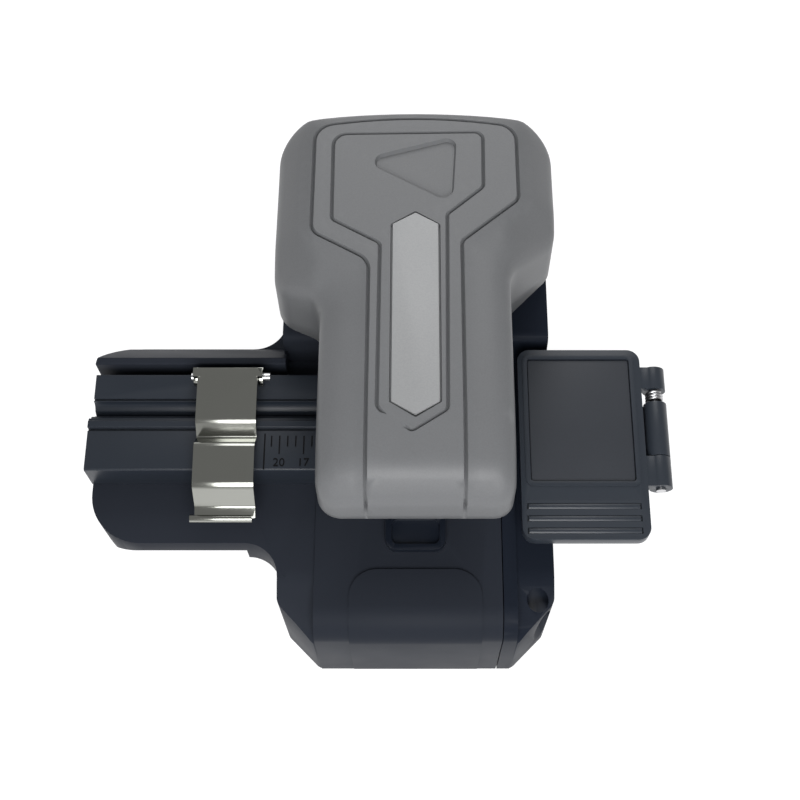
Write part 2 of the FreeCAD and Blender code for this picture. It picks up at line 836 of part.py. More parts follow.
def blade_hub():
    """Flanged sleeve that the blade turns on."""
    left = blade_x - 1.1
    right = blade_x + blade_thickness / 2 + 0.06
    flange = rod_x(rest_y, blade_height, 3.0, left, left + 0.3)
    sleeve = rod_x(rest_y, blade_height, blade_bore - running_gap, left, right)
    return flange.fuse(sleeve).cut(rod_x(rest_y, blade_height, small_pilot, left - 1, right + 1))


def blade_screw():
    """Screw that holds hub and blade to the carriage."""
    seat = blade_x + blade_thickness / 2 + 0.06
    return screw_x(rest_y, blade_height, seat, blade_x - 2.4, 2.4, small_pilot, 0.9)


def blade_wheel():
    """Hard-metal wheel ground to an edge on its rim."""
    half = blade_thickness / 2
    outline = [
        Vector(-half, blade_bore, 0),
        Vector(-half, blade_radius - 1.1, 0),
        Vector(-0.05, blade_radius, 0),
        Vector(0.05, blade_radius, 0),
        Vector(half, blade_radius - 1.1, 0),
        Vector(half, blade_bore, 0),
        Vector(-half, blade_bore, 0),
    ]
    wheel = Part.Face(Part.makePolygon(outline)).revolve(Vector(0, 0, 0), Vector(1, 0, 0), 360)
    wheel.translate(Vector(blade_x, rest_y, blade_height))
    return wheel


# ---------------------------------------------------------------- lever
def lever_plan():
    """Outline of the lever seen square to its top: narrow in front, wide over the hinge."""
    narrow = lever_half_narrow
    wide = lever_half_wide
    return [
        (-narrow, lever_front, 2.9),
        (narrow, lever_front, 2.4),
        (narrow, wing_right_root, 4.5),
        (wide, wing_right_y, 3.6),
        (wide, lever_back, 4.8),
        (0, lever_back + lever_crown, 90.0),
        (-wide, lever_back, 4.8),
        (-wide, wing_left_y, 4.0),
        (-narrow, wing_left_root, 3.0),
    ]


def panel_plan():
    """Outline of the raised panel on top; its left and right shoulders differ."""
    narrow = panel_half_narrow
    wide = panel_half_wide
    return [
        (-narrow, lever_front - 3.0, 0),
        (narrow, lever_front - 3.0, 0),
        (narrow, panel_root_right, 1.2),
        (wide, panel_right_y, 1.6),
        (wide, panel_back, 2.6),
        (0, panel_back + lever_crown - 0.4, 60.0),
        (-wide, panel_back, 2.6),
        (-wide, panel_left_y, 1.8),
        (-narrow, panel_root_left, 2.4),
    ]


def lever_side(drop, sunk=0):
    """Side outline of the lever in its own level frame, its top lowered and its front sunk."""
    back = lever_back + lever_crown
    floor = lever_top - 2 * lever_height
    return [
        (lever_front + sunk, floor, 0),
        (back + 0.6, floor, 0),
        (back + 0.2, lever_top - drop, 2.2),
        (lever_front + sunk, lever_top - drop, lever_bend - drop),
    ]


def level_blank(plan, drop):
    """Solid under a plan outline and inside the side outline, in the lever's own level frame."""
    tall = plan_prism(plan, lever_top - 1.9 * lever_height, lever_top + 1.0)
    return tall.common(side_prism(lever_side(drop), -20, 20))


def wing_falls(start):
    """Wedges cut away over the two wings, whose tops fall outwards from a starting height."""
    edge = lever_half_wide + 1.0
    wedges = []
    for side in (-1, 1):
        fall = [
            (side * wing_crease, start, 0), (side * edge, start - wing_fall, 0),
            (side * edge, lever_top + 1.0, 0), (side * wing_crease, lever_top + 1.0, 0),
        ]
        wedges.append(end_prism(fall, lever_front, lever_back + 2 * lever_crown))
    return joined(wedges)


def lowered(shape):
    """The same piece turned from the lever's own level frame to the pressed pose."""
    turned = shape.copy()
    turned.rotate(Vector(0, hinge_y, hinge_z), Vector(1, 0, 0), lever_slope)
    return turned


def badge_plan(inset):
    """Long six-sided outline of the badge, moved inwards by an inset."""
    half = badge_half_width
    front = badge_front + badge_point
    back = badge_back - badge_point
    corners = [
        (-half, front, 0.2), (0, badge_front, 0.2), (half, front, 0.2),
        (half, back, 0.2), (0, badge_back, 0.2), (-half, back, 0.2),
    ]
    return inset_corners(corners, inset)


def triangle_plan():
    """Rounded triangle sunk into the panel's rear."""
    tip = badge_back + 1.2
    return [(4.4, tip, 1.4), (5.0, tip + 9.8, 1.2), (-6.8, tip + 6.4, 1.3)]


def ceiling(y):
    """Height of the shell's inner face above a place in Y, pressed pose."""
    slope = math.radians(lever_slope)
    inside_top = lever_top - shelf_drop - lever_wall - hinge_z
    level_y = (y - hinge_y + inside_top * math.sin(slope)) / math.cos(slope)
    return hinge_z + level_y * math.sin(slope) + inside_top * math.cos(slope)


def lever_shell():
    """Sculpted cover of the lever: side shelves, raised panel with a groove round it, hollow inside."""
    shelf = level_blank(lever_plan(), shelf_drop)
    panel = level_blank(panel_plan(), 0)
    outer = joined([shelf, panel.common(level_blank(lever_plan(), 0))])
    outer = outer.cut(wing_falls(lever_top - shelf_drop))
    ring = plan_prism(inset_corners(panel_plan(), -groove_width), lever_front, lever_top + 1)
    ring = ring.cut(plan_prism(panel_plan(), lever_front - 1, lever_top + 2))
    floor_cut = side_prism(lever_side(shelf_drop + groove_depth, groove_depth), -20, 20)
    outer = outer.cut(ring.cut(floor_cut))
    outer = outer.cut(plan_prism(badge_plan(0), lever_top - badge_depth, lever_top + 1))
    outer = outer.cut(plan_prism(triangle_plan(), lever_top - 0.25, lever_top + 1))
    inner = level_blank(inset_corners(lever_plan(), lever_wall), shelf_drop + lever_wall)
    inner = inner.cut(wing_falls(lever_top - shelf_drop - lever_wall * 1.1))
    shape = lowered(outer.cut(inner))
    trim = side_prism(
        [(-30, 0, 0), (40, 0, 0), (40, lever_floor + 6.0, 0), (hinge_y - 2.0, lever_floor, 0),
         (-30, lever_floor, 0)],
        -20, 20,
    )
    shape = shape.cut(trim)
    posts = [rod_z(x, y, 1.7, frame_roof, ceiling(y) + 0.5) for x, y in lever_screw_spots]
    keeper_front = lever_front + lever_wall - 1.0
    keeper = box(-2.5, 2.5, keeper_front, keeper_front + keeper_reach, lever_floor + 0.2, lever_floor + 1.1)
    shape = joined([shape, keeper] + posts)
    for x, y in lever_screw_spots:
        shape = shape.cut(rod_z(x, y, small_pilot, frame_roof - 1, frame_roof + 2.6))
    return raised(shape)


def lever_badge():
    """Plain badge plate in its recess."""
    floor = lever_top - badge_depth
    return raised(lowered(plan_prism(badge_plan(0.05), floor, floor + badge_depth + 0.1)))


def lever_frame():
    """Inner frame screwed under the shell; its ears turn on the hinge pin."""
    plate = rounded_box(-frame_half_width, frame_half_width, -16.6, 20.5, frame_floor, frame_roof, 1.0)
    parts = [plate]
    for side in (-1, 1):
        x0, x1 = sorted((side * ear_inner, side * ear_outer))
        parts.append(box(x0, x1, 16.0, hinge_y, hinge_z, frame_roof - 0.4))
        parts.append(rod_x(hinge_y, hinge_z, 1.85, x0, x1))
    shape = joined(parts)
    shape = shape.cut(rod_x(hinge_y, hinge_z, hinge_pin_radius + running_gap, -20, 20))
    for x, y in lever_screw_spots:
        shape = shape.cut(rod_z(x, y, small_pilot + 0.1, frame_floor - 2, frame_roof + 1))
        shape = shape.cut(rod_z(x, y, 1.7, frame_floor - 2, frame_floor))
    for x in stem_xs:
        shape = shape.cut(rod_z(x, fibre_y, stem_radius + running_gap, frame_floor - 1, frame_roof + 1))
    shape = shape.cut(rod_z(blade_x, fibre_y, anvil_radius + running_gap, frame_floor - 1, frame_roof + 1))
    for y in cam_screw_ys:
        shape = shape.cut(rod_z(cam_screw_x, y, small_pilot, frame_floor - 1, frame_roof + 1))
    return raised(shape)


def lever_screws():
    """Screws that hold the frame in the shell."""
    return raised(group([
        screw_z(x, y, frame_floor, frame_roof + 2.4, 1.5, small_pilot, 0.7) for x, y in lever_screw_spots
    ]))


def pin_path(step, steps):
    """Place of the drive pin seen from the lever, pressed pose, for one step of the stroke."""
    share = step / steps
    angle = math.radians(press_angle) * share
    pressed_y = rest_y + drive_pin_offset + carriage_travel
    away_y = pressed_y - carriage_travel * share - hinge_y
    away_z = drive_pin_height - hinge_z
    return Vector(
        hinge_y + away_y * math.cos(angle) - away_z * math.sin(angle),
        hinge_z + away_y * math.sin(angle) + away_z * math.cos(angle),
        0,
    )


def cam_slot():
    """Slot that the drive pin follows through the whole stroke of the lever."""
    steps = 8
    reach = drive_pin_radius + 0.12
    path = [pin_path(step, steps) for step in range(steps + 1)]
    near = []
    far = []
    for index, place in enumerate(path):
        ahead = path[min(index + 1, steps)] - path[max(index - 1, 0)]
        ahead.normalize()
        across = Vector(-ahead.y, ahead.x, 0) * reach
        near.append((place.x + across.x, place.y + across.y, 0))
        far.append((place.x - across.x, place.y - across.y, 0))
    slot = side_prism(near + far[::-1], cam_x[0] - 1, cam_x[1] + 1)
    ends = [rod_x(place.x, place.y, reach, cam_x[0] - 1, cam_x[1] + 1) for place in (path[0], path[-1])]
    return slot.fuse(ends)


def drive_cam():
    """Plate under the frame whose slanting slot moves the blade carriage as the lever goes down."""
    high = pin_path(0, 1)
    low = pin_path(1, 1)
    front = low.x - drive_pin_radius - cam_web - 0.4
    heel = high.x + drive_pin_radius + cam_web - 0.2
    tip = low.y - drive_pin_radius - cam_web + 1.0
    neck = high.x + 0.3
    outline = [
        (front, frame_floor, 0),
        (front, tip + 4.2, 2.0),
        (low.x - 2.0, tip, 1.4),
        (low.x + 1.7, tip, 1.6),
        (heel, high.y - 0.6, 1.6),
        (heel, high.y + 2.4, 1.6),
        (neck, high.y + 6.0, 1.5),
        (neck, frame_floor, 0),
    ]
    plate = side_prism(outline, *cam_x)
    foot = box(cam_screw_x - 1.6, cam_x[1], front, neck, frame_floor - 1.1, frame_floor)
    shape = joined([plate, foot]).cut(cam_slot())
    for y in cam_screw_ys:
        shape = shape.cut(rod_z(cam_screw_x, y, small_pilot, frame_floor - 2, frame_floor + 1))
    return raised(shape)


def cam_screws():
    """Screws that hold the cam to the frame."""
    seat = frame_floor - 1.1
    return raised(group([
        screw_z(cam_screw_x, y, seat, frame_roof - 0.1, 1.4, small_pilot, 0.7) for y in cam_screw_ys
    ]))


def pad_carrier():
    """Sprung bridge over the blade that carries both upper pads on two stems."""
    spans = pad_spans()
    front = fibre_y - pad_half_depth
    back = fibre_y + pad_half_depth
    bridge = box(spans[0][0], spans[1][1], front, back, carrier_floor, carrier_roof)
    parts = [bridge]
    for x in stem_xs:
        parts.append(rod_z(x, fibre_y, stem_radius, carrier_roof - 0.2, frame_roof + 1.4))
        parts.append(rod_z(x, fibre_y, stem_radius + 0.6, frame_roof, frame_roof + 0.6))
    anvil_hole = rod_z(blade_x, fibre_y, anvil_radius + 0.4, carrier_floor - 1, carrier_roof + 1)
    shape = joined(parts).cut(anvil_hole)
    return raised(shape)


def upper_pads():
    """Rubber pads that hold the fibre down on both sides of the blade."""
    return raised(group([
        box(x0 + 0.3, x1 - 0.3, fibre_y - pad_half_depth + 0.3, fibre_y + pad_half_depth - 0.3,
            fibre_height, carrier_floor)
        for x0, x1 in pad_spans()
    ]))


def pad_springs():
    """Springs round the stems that press the pad carrier down."""
    return raised(group([
        coil_sleeve(x, fibre_y, carrier_roof, frame_floor, stem_radius + 0.45, 0.25, 3) for x in stem_xs
    ]))


def anvil():
    """Round-nosed pin that bends the scored fibre until it breaks."""
    tip = fibre_height + 0.7
    pin = rod_z(blade_x, fibre_y, anvil_radius, tip + anvil_radius, frame_roof + 2.0)
    nose = Part.makeSphere(anvil_radius, Vector(blade_x, fibre_y, tip + anvil_radius))
    collar = rod_z(blade_x, fibre_y, anvil_radius + 0.7, frame_roof, frame_roof + 0.6)
    return raised(joined([pin, nose, collar]))


def anvil_spring():
    """Spring between the anvil's collar and the shell."""
    return raised(coil_sleeve(
        blade_x, fibre_y, frame_roof + 0.6, ceiling(fibre_y) - 0.35, anvil_radius + 0.4, 0.2, 5
    ))


def lever_springs():
    """Two springs in the rear of the casing that push the lever up."""
    return group([coil_sleeve(x, spring_y, spring_seat, spring_top, 2.0, 0.35, 5) for x in spring_spots])


def hinge_brackets():
    """Two angle brackets on the casing's rear that carry the lever's pin."""
    brackets = []
    for side in (-1, 1):
        cheek_x = sorted((side * (ear_outer + 0.3), side * (ear_outer + 2.1)))
        flange_x = sorted((side * (ear_outer + 0.3), side * 14.2))
        cheek = side_prism(
            [(hinge_y - 2.2, rear_top, 0), (hinge_y + 1.4, rear_top, 0),
             (hinge_y + 1.4, hinge_z + 2.0, 1.2), (hinge_y - 2.2, hinge_z + 2.0, 1.8)],
            *cheek_x,
        )
        flange = box(*flange_x, hinge_y - 2.2, hinge_y + 1.4, rear_top, rear_top + 1.0)
        bracket = joined([cheek, flange]).cut(rod_x(hinge_y, hinge_z, hinge_pin_radius, -20, 20))
        x, y = bracket_screw_spots[0 if side < 0 else 1]
        brackets.append(bracket.cut(rod_z(x, y, small_pilot, rear_top - 1, rear_top + 2)))
    return group(brackets)


def bracket_screws():
    """Screws that hold the hinge brackets."""
    seat = rear_top + 1.0
    return group([screw_z(x, y, seat, rear_top - 3.6, 1.2, small_pilot, 0.8) for x, y in bracket_screw_spots])


def lever_pin():
    """Hinge pin of the lever."""
    reach = ear_outer + 2.1
    return rod_x(hinge_y, hinge_z, hinge_pin_radius, -reach, reach)


def lock_slide():
    """Slide in front of the lever; its hook catches the keeper to hold the lever down."""
    back = lock_front + 5.8
    floor = deck_top + 0.04
    body = rounded_box(-lock_half_width, lock_half_width, lock_front, back, floor, deck_top + 1.2, 1.4)
    post_back = lock_front + 5.2
    post = box(-1.5, 1.5, post_back - 1.2, post_back, deck_top + 1.0, lever_floor + 2.1)
    nose = box(-1.5, 1.5, post_back - 2.1, post_back, lever_floor + 1.3, lever_floor + 2.1)
    stem = box(-0.9, 0.9, lock_front + 2.4, lock_front + 4.2, deck_top - casing_wall - 0.1, deck_top + 0.5)
    foot_top = deck_top - casing_wall - 0.06
    foot = box(-1.8, 1.8, lock_front + 2.4, lock_front + 4.2, foot_top - 1.0, foot_top)
    tray = rounded_box(
        lock_rim - lock_half_width, lock_half_width - lock_rim, lock_front + lock_rim, post_back - 1.3,
        deck_top + 0.7, deck_top + 2.0, 0.8,
    )
    return joined([body.cut(tray), post, nose, stem, foot])


# ---------------------------------------------------------------- scrap bin
def bin_box():
    """Open box for fibre scraps; it sits on the right flank and carries the lid's middle knuckle."""
    left = bin_left + 0.3
    right = bin_right - 0.4
    back = bin_lid_back - 0.3
    roof = plate_top - bin_lid_thickness - 0.1
    wall = bin_wall
    upper = rounded_box(left, right, bin_front, back, arm_top, roof, 1.4)
    lower = rounded_box(
        casing_half_width, right - 0.4, bin_front + 0.8, back - 0.8, bin_floor, arm_top + 1.0, 1.4
    )
    arm = box(
        right - 0.6, bin_hinge_x, bin_knuckle_front, bin_knuckle_back,
        bin_hinge_z - 1.2, roof,
    )
    knuckle = rod_y(bin_hinge_x, bin_hinge_z, bin_hinge_radius, bin_knuckle_front, bin_knuckle_back)
    shape = joined([upper, lower, arm, knuckle])
    hollow_upper = rounded_box(left + wall, right - wall, bin_front + wall, back - wall, arm_top + wall,
                               roof + 1, 0.8)
    hollow_lower = rounded_box(casing_half_width + wall, right - 0.4 - wall, bin_front + 0.8 + wall,
                               back - 0.8 - wall, bin_floor + wall, arm_top + wall + 0.5, 0.8)
    shape = shape.cut(hollow_upper).cut(hollow_lower)
    shape = shape.cut(box(left - 1, left + wall + 0.5, fibre_y - 0.8, fibre_y + 0.8, fibre_height - 1.4, 30))
    shape = shape.cut(rod_y(bin_hinge_x, bin_hinge_z, bin_pin_radius, -20, 20))
    for y in bin_screw_ys:
        shape = shape.cut(rod_x(y, bin_screw_z, small_pilot, casing_half_width - 1, casing_half_width + 2))
    return shape


def bin_screws():
    """Screws through the bin's inner wall into the side cover."""
    seat = casing_half_width + bin_wall
    tip = casing_half_width - 3.0
    return group([screw_x(y, bin_screw_z, seat, tip, 1.4, 0.7, 0.7) for y in bin_screw_ys])


def bin_lid():
    """Lid of the scrap bin: framed panel, three finger ribs and two hinge knuckles."""
    floor = plate_top - bin_lid_thickness
    outline = [
        (bin_left, bin_lid_front, 1.6), (bin_right, bin_lid_front, 1.6),
        (bin_right, bin_lid_back, 1.6), (bin_left, bin_lid_back, 1.6),
    ]
    lid = plan_prism(outline, floor, plate_top)
    parts = [lid]
    for y0, y1 in bin_lid_knuckles:
        parts.append(box(bin_right - 0.5, bin_hinge_x, y0, y1, floor, bin_hinge_z + 1.2))
        parts.append(rod_y(bin_hinge_x, bin_hinge_z, bin_hinge_radius, y0, y1))
    shape = joined(parts)
    ends = (rib_left, bin_right - 1.0)
    floor_cut = plate_top - rib_radius * 0.8
    field = box(*ends, rib_front - rib_pitch / 2, rib_front + 2.5 * rib_pitch, floor_cut, 30)
    shape = shape.cut(field)
    for rib in range(3):
        middle = rib_front + rib * rib_pitch
        bar = rod_x(middle, floor_cut, rib_radius, ends[0] + 0.2, ends[1] - 0.2)
        shape = joined([shape, bar])
    lip = plan_prism(lid_panel_plan(-lip_width), plate_top - 0.5, plate_top + lip_height)
    shape = joined([shape, lip])
    shape = shape.cut(plan_prism(lid_panel_plan(0), plate_top - panel_sink, plate_top + 1))
    bore = bin_pin_radius + running_gap
    return shape.cut(rod_y(bin_hinge_x, bin_hinge_z, bore, -20, 20))


def lid_panel_plan(inset):
    """Outline of the panel let into the bin lid."""
    corners = [
        (bin_left + 1.2, bin_front + 1.5, 0.4), (bin_right - 1.4, bin_front + 1.5, 0.4),
        (bin_right - 1.4, bin_lid_back - 1.3, 0.4), (bin_left + 1.2, bin_lid_back - 1.3, 0.4),
    ]
    return inset_corners(corners, inset)


def lid_panel():
    """Thin panel in the bin lid."""
    return plan_prism(lid_panel_plan(0.1), plate_top - panel_sink, plate_top - 0.1)


def bin_pin():
    """Hinge pin of the bin lid."""
    front = bin_lid_knuckles[0][0] - 0.3
    return rod_y(bin_hinge_x, bin_hinge_z, bin_pin_radius, front, bin_lid_knuckles[1][1])


def bin_spring():
    """Coil on the bin's hinge pin that closes the lid."""
    sleeve = coil_sleeve(0, 0, 0, bin_lid_knuckles[1][0] - bin_knuckle_back - 0.2, 0.95, 0.22, 3)
    sleeve.rotate(Vector(0, 0, 0), Vector(1, 0, 0), -90)
    sleeve.translate(Vector(bin_hinge_x, bin_knuckle_back + 0.1, bin_hinge_z))
    return sleeve


# ---------------------------------------------------------------- the parts
parts = {
    "base_body": base_body,
    "side_cover": side_cover,
    "bottom_plate": bottom_plate,
    "rubber_feet": rubber_feet,
    "bottom_screws": bottom_screws,
    "side_screws": side_screws,
    "holder_plate": holder_plate,
    "holder_screws": holder_screws,
    "fibre_clamp": fibre_clamp,
    "clamp_pin": clamp_pin,
    "clamp_spring": clamp_spring,
    "fibre_rests": fibre_rests,
    "lower_pads": lower_pads,
    "rail_blocks": rail_blocks,
    "rail_screws": rail_screws,
    "guide_rods": guide_rods,
    "blade_carriage": blade_carriage,
    "drive_pin": drive_pin,
    "blade_hub": blade_hub,
    "blade_screw": blade_screw,
    "blade_wheel": blade_wheel,
    "lever_shell": lever_shell,
    "lever_badge": lever_badge,
    "lever_frame": lever_frame,
    "lever_screws": lever_screws,
    "drive_cam": drive_cam,
    "cam_screws": cam_screws,
    "pad_carrier": pad_carrier,
    "upper_pads": upper_pads,
    "pad_springs": pad_springs,
    "anvil": anvil,
    "anvil_spring": anvil_spring,
    "lever_springs": lever_springs,
    "hinge_brackets": hinge_brackets,
    "bracket_screws": bracket_screws,
    "lever_pin": lever_pin,
    "lock_slide": lock_slide,
    "bin_box": bin_box,
    "bin_screws": bin_screws,
    "bin_lid": bin_lid,
    "lid_panel": lid_panel,
    "bin_pin": bin_pin,
    "bin_spring": bin_spring,
}

# From the lever's centre line to the middle of the overall length and depth
middle_x = (plate_end + bin_hinge_x + bin_hinge_radius) / 2
middle_y = (casing_front - front_panel_rise + lever_reach) / 2

os.makedirs("parts", exist_ok=True)
for name, build in parts.items():
    shape = build()
    shape.translate(Vector(-middle_x, -middle_y, 0))
    shape.exportStep("parts/" + name + ".step")
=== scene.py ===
"""Looks of a fibre cleaver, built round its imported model.

Every length in this file is in millimetres, and MM turns it into the scene's metres. Sub-assemblies are
classes that build their meshes and dress them with finishes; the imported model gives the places. New
pieces are drawn about the lever's centre line and moved by HOME to the frame's origin.
"""

import json
import logging
import math
from dataclasses import dataclass, field
from enum import Enum
from typing import Callable, Iterable, Sequence

import bmesh
import bpy
from mathutils import Matrix, Vector
from mathutils.geometry import delaunay_2d_cdt

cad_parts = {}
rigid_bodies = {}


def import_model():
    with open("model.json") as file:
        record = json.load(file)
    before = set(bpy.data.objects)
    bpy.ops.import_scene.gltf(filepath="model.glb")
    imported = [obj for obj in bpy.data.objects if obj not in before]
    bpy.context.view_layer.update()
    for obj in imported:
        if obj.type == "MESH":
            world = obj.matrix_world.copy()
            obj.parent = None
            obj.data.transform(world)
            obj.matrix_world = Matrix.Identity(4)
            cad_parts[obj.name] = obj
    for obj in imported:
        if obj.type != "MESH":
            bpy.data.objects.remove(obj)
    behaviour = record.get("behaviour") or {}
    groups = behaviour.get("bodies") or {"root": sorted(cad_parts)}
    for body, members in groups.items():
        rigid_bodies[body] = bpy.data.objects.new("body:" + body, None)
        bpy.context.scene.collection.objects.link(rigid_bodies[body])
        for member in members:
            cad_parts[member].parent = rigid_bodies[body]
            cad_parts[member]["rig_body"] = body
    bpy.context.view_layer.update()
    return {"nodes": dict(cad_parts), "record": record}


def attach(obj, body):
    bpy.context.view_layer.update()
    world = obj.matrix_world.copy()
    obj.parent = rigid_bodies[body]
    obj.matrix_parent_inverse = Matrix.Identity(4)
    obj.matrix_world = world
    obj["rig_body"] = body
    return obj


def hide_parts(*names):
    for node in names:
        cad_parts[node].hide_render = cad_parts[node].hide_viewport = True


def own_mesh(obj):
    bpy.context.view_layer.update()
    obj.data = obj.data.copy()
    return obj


LOG = logging.getLogger("cleaver")
MM = 0.001
# From the lever's centre line to the middle of the frame
HOME = Vector((4.55, -1.03, 0.0))
# The lever's hinge, and its swing from the pressed pose up to rest
LEVER_HINGE = Vector((0, 26, 26))
LEVER_RISE_DEG = 11.5
# Faces of a wire that meet at less than this angle are shaded as one
WIRE_SMOOTH_DEG = 60
Point = tuple[float, float]
Corner = tuple[float, float, float]
Colour = tuple[float, float, float]


# ---------------------------------------------------------------- finishes
# Size of the broad patches and of the specks in a colour, per metre
PATCH_SCALE = 110.0
SPECK_SCALE = 5200.0
# Share by which specks change the colour, and amount by which patches change the roughness
SPECK_SHARE = 0.07
ROUGH_SPREAD = 0.07
# Bend of the surface at which wear starts and is complete
WEAR_START = 0.53
WEAR_FULL = 0.65
# Length of brushed grain against its width
GRAIN_STRETCH = 40.0


class Grain(Enum):
    """How a surface's fine relief runs."""

    EVEN = "even"
    ALONG_X = "along_x"
    ALONG_Y = "along_y"
    ROUND = "round"


@dataclass(frozen=True)
class Finish:
    """One surface finish, turned into a procedural material.

    Attributes:
        name: Plain name of the finish.
        colour: Linear base colour.
        rough: Mean roughness.
        metal: Metallic share.
        grain: Direction of the fine relief.
        grain_size: Size of the fine relief.
        grain_depth: Height of the fine relief.
        mottle: Share by which the colour wanders over large patches.
        worn: How much lighter the convex edges are.
        gloss: Level of the mirror-like share on materials without metal.
    """

    name: str
    colour: Colour
    rough: float
    metal: float = 0.0
    grain: Grain = Grain.EVEN
    grain_size: float = 0.25
    grain_depth: float = 0.004
    mottle: float = 0.05
    worn: float = 0.1
    gloss: float = 0.5

    def material(self) -> bpy.types.Material:
        """Builds the node material, or returns the one already built.

        Returns:
            The material that carries this finish.
        """
        known = bpy.data.materials.get("finish_" + self.name)
        if known is not None:
            return known
        made = bpy.data.materials.new("finish_" + self.name)
        made.use_nodes = True
        tree = made.node_tree
        shader = tree.nodes["Principled BSDF"]
        shader.inputs["Metallic"].default_value = self.metal
        shader.inputs["Specular IOR Level"].default_value = self.gloss
        place = tree.nodes.new("ShaderNodeTexCoord").outputs["Object"]
        patches = self._noise(tree, place, (PATCH_SCALE,) * 3, 3.0)
        tree.links.new(self._tint(tree, place, patches), shader.inputs["Base Color"])
        tree.links.new(self._roughness(tree, patches), shader.inputs["Roughness"])
        tree.links.new(self._relief(tree, place), shader.inputs["Normal"])
        return made

    def _shaded(self, share: float) -> Colour:
        """The base colour made lighter, or darker where the share is negative."""
        return tuple(min(c * (1 + share), 1.0) for c in self.colour)

    def _tint(
        self, tree: bpy.types.NodeTree, place: bpy.types.NodeSocket, patches: bpy.types.NodeSocket
    ) -> bpy.types.NodeSocket:
        """Colour with broad patches, fine specks and paler edges.

        Args:
            tree: Node tree that takes the nodes.
            place: Socket with the place on the object.
            patches: Noise of the broad patches.

        Returns:
            The colour's socket.
        """
        specks = self._noise(tree, place, (SPECK_SCALE,) * 3, 1.0)
        both = tree.nodes.new("ShaderNodeMix")
        both.data_type = "RGBA"
        both.inputs["Factor"].default_value = 0.5
        broad = self._ramp(tree, patches, self._shaded(-self.mottle), self._shaded(self.mottle))
        fine = self._ramp(tree, specks, self._shaded(-SPECK_SHARE), self._shaded(SPECK_SHARE))
        tree.links.new(broad, both.inputs["A"])
        tree.links.new(fine, both.inputs["B"])
        edged = tree.nodes.new("ShaderNodeMix")
        edged.data_type = "RGBA"
        tree.links.new(self._edge_share(tree), edged.inputs["Factor"])
        tree.links.new(both.outputs["Result"], edged.inputs["A"])
        pale = tuple(min(c + self.worn * (0.35 + c), 1.0) for c in self.colour)
        edged.inputs["B"].default_value = (*pale, 1.0)
        return edged.outputs["Result"]

    def _roughness(
        self, tree: bpy.types.NodeTree, patches: bpy.types.NodeSocket
    ) -> bpy.types.NodeSocket:
        """Roughness that wanders with the broad patches.

        Args:
            tree: Node tree that takes the nodes.
            patches: Noise of the broad patches.

        Returns:
            The roughness's socket.
        """
        rough = tree.nodes.new("ShaderNodeMapRange")
        rough.inputs["To Min"].default_value = max(self.rough - ROUGH_SPREAD, 0.02)
        rough.inputs["To Max"].default_value = min(self.rough + ROUGH_SPREAD, 1.0)
        tree.links.new(patches, rough.inputs["Value"])
        return rough.outputs["Result"]

    def _relief(self, tree: bpy.types.NodeTree, place: bpy.types.NodeSocket) -> bpy.types.NodeSocket:
        """Fine relief of the surface's grain.

        Args:
            tree: Node tree that takes the nodes.
            place: Socket with the place on the object.

        Returns:
            The socket of the bent normal.
        """
        bump = tree.nodes.new("ShaderNodeBump")
        bump.inputs["Strength"].default_value = 0.6
        bump.inputs["Distance"].default_value = self.grain_depth * MM
        tree.links.new(self._noise(tree, place, self._stretch(), 4.0), bump.inputs["Height"])
        return bump.outputs["Normal"]

    def _stretch(self) -> tuple[float, float, float]:
        """Noise scale along each axis, small where the grain runs long."""
        across = 1.0 / (self.grain_size * MM)
        along = across / GRAIN_STRETCH
        return {
            Grain.EVEN: (across, across, across),
            Grain.ALONG_X: (along, across, across),
            Grain.ALONG_Y: (across, along, across),
            Grain.ROUND: (across * 0.4, across * 0.4, across * 3.0),
        }[self.grain]

    @staticmethod
    def _noise(
        tree: bpy.types.NodeTree, place: bpy.types.NodeSocket, scale: tuple[float, float, float],
        detail: float,
    ) -> bpy.types.NodeSocket:
        """Adds a noise texture.

        Args:
            tree: Node tree that takes the nodes.
            place: Socket with the place on the object.
            scale: Scale along each axis, per metre.
            detail: Number of octaves.

        Returns:
            The noise's value socket.
        """
        mapping = tree.nodes.new("ShaderNodeMapping")
        mapping.inputs["Scale"].default_value = scale
        noise = tree.nodes.new("ShaderNodeTexNoise")
        noise.inputs["Scale"].default_value = 1.0
        noise.inputs["Detail"].default_value = detail
        tree.links.new(place, mapping.inputs["Vector"])
        tree.links.new(mapping.outputs["Vector"], noise.inputs["Vector"])
        return noise.outputs["Fac"]

    @staticmethod
    def _ramp(
        tree: bpy.types.NodeTree, share: bpy.types.NodeSocket, low: Colour, high: Colour
    ) -> bpy.types.NodeSocket:
        """Colour ramp between two colours, steepened round the middle of a noise.

        Args:
            tree: Node tree that takes the nodes.
            share: Noise value.
            low: Colour where the noise is low.
            high: Colour where the noise is high.

        Returns:
            The ramp's colour socket.
        """
        ramp = tree.nodes.new("ShaderNodeValToRGB")
        ramp.color_ramp.elements[0].position = 0.3
        ramp.color_ramp.elements[1].position = 0.7
        ramp.color_ramp.elements[0].color = (*low, 1.0)
        ramp.color_ramp.elements[1].color = (*[min(c, 1.0) for c in high], 1.0)
        tree.links.new(share, ramp.inputs["Fac"])
        return ramp.outputs["Color"]

    @staticmethod
    def _edge_share(tree: bpy.types.NodeTree) -> bpy.types.NodeSocket:
        """Share of 0 on flats and up to 1 on convex edges.

        Args:
            tree: Node tree that takes the nodes.

        Returns:
            Socket with the share.
        """
        shape = tree.nodes.new("ShaderNodeNewGeometry")
        reach = tree.nodes.new("ShaderNodeMapRange")
        reach.inputs["From Min"].default_value = WEAR_START
        reach.inputs["From Max"].default_value = WEAR_FULL
        tree.links.new(shape.outputs["Pointiness"], reach.inputs["Value"])
        return reach.outputs["Result"]


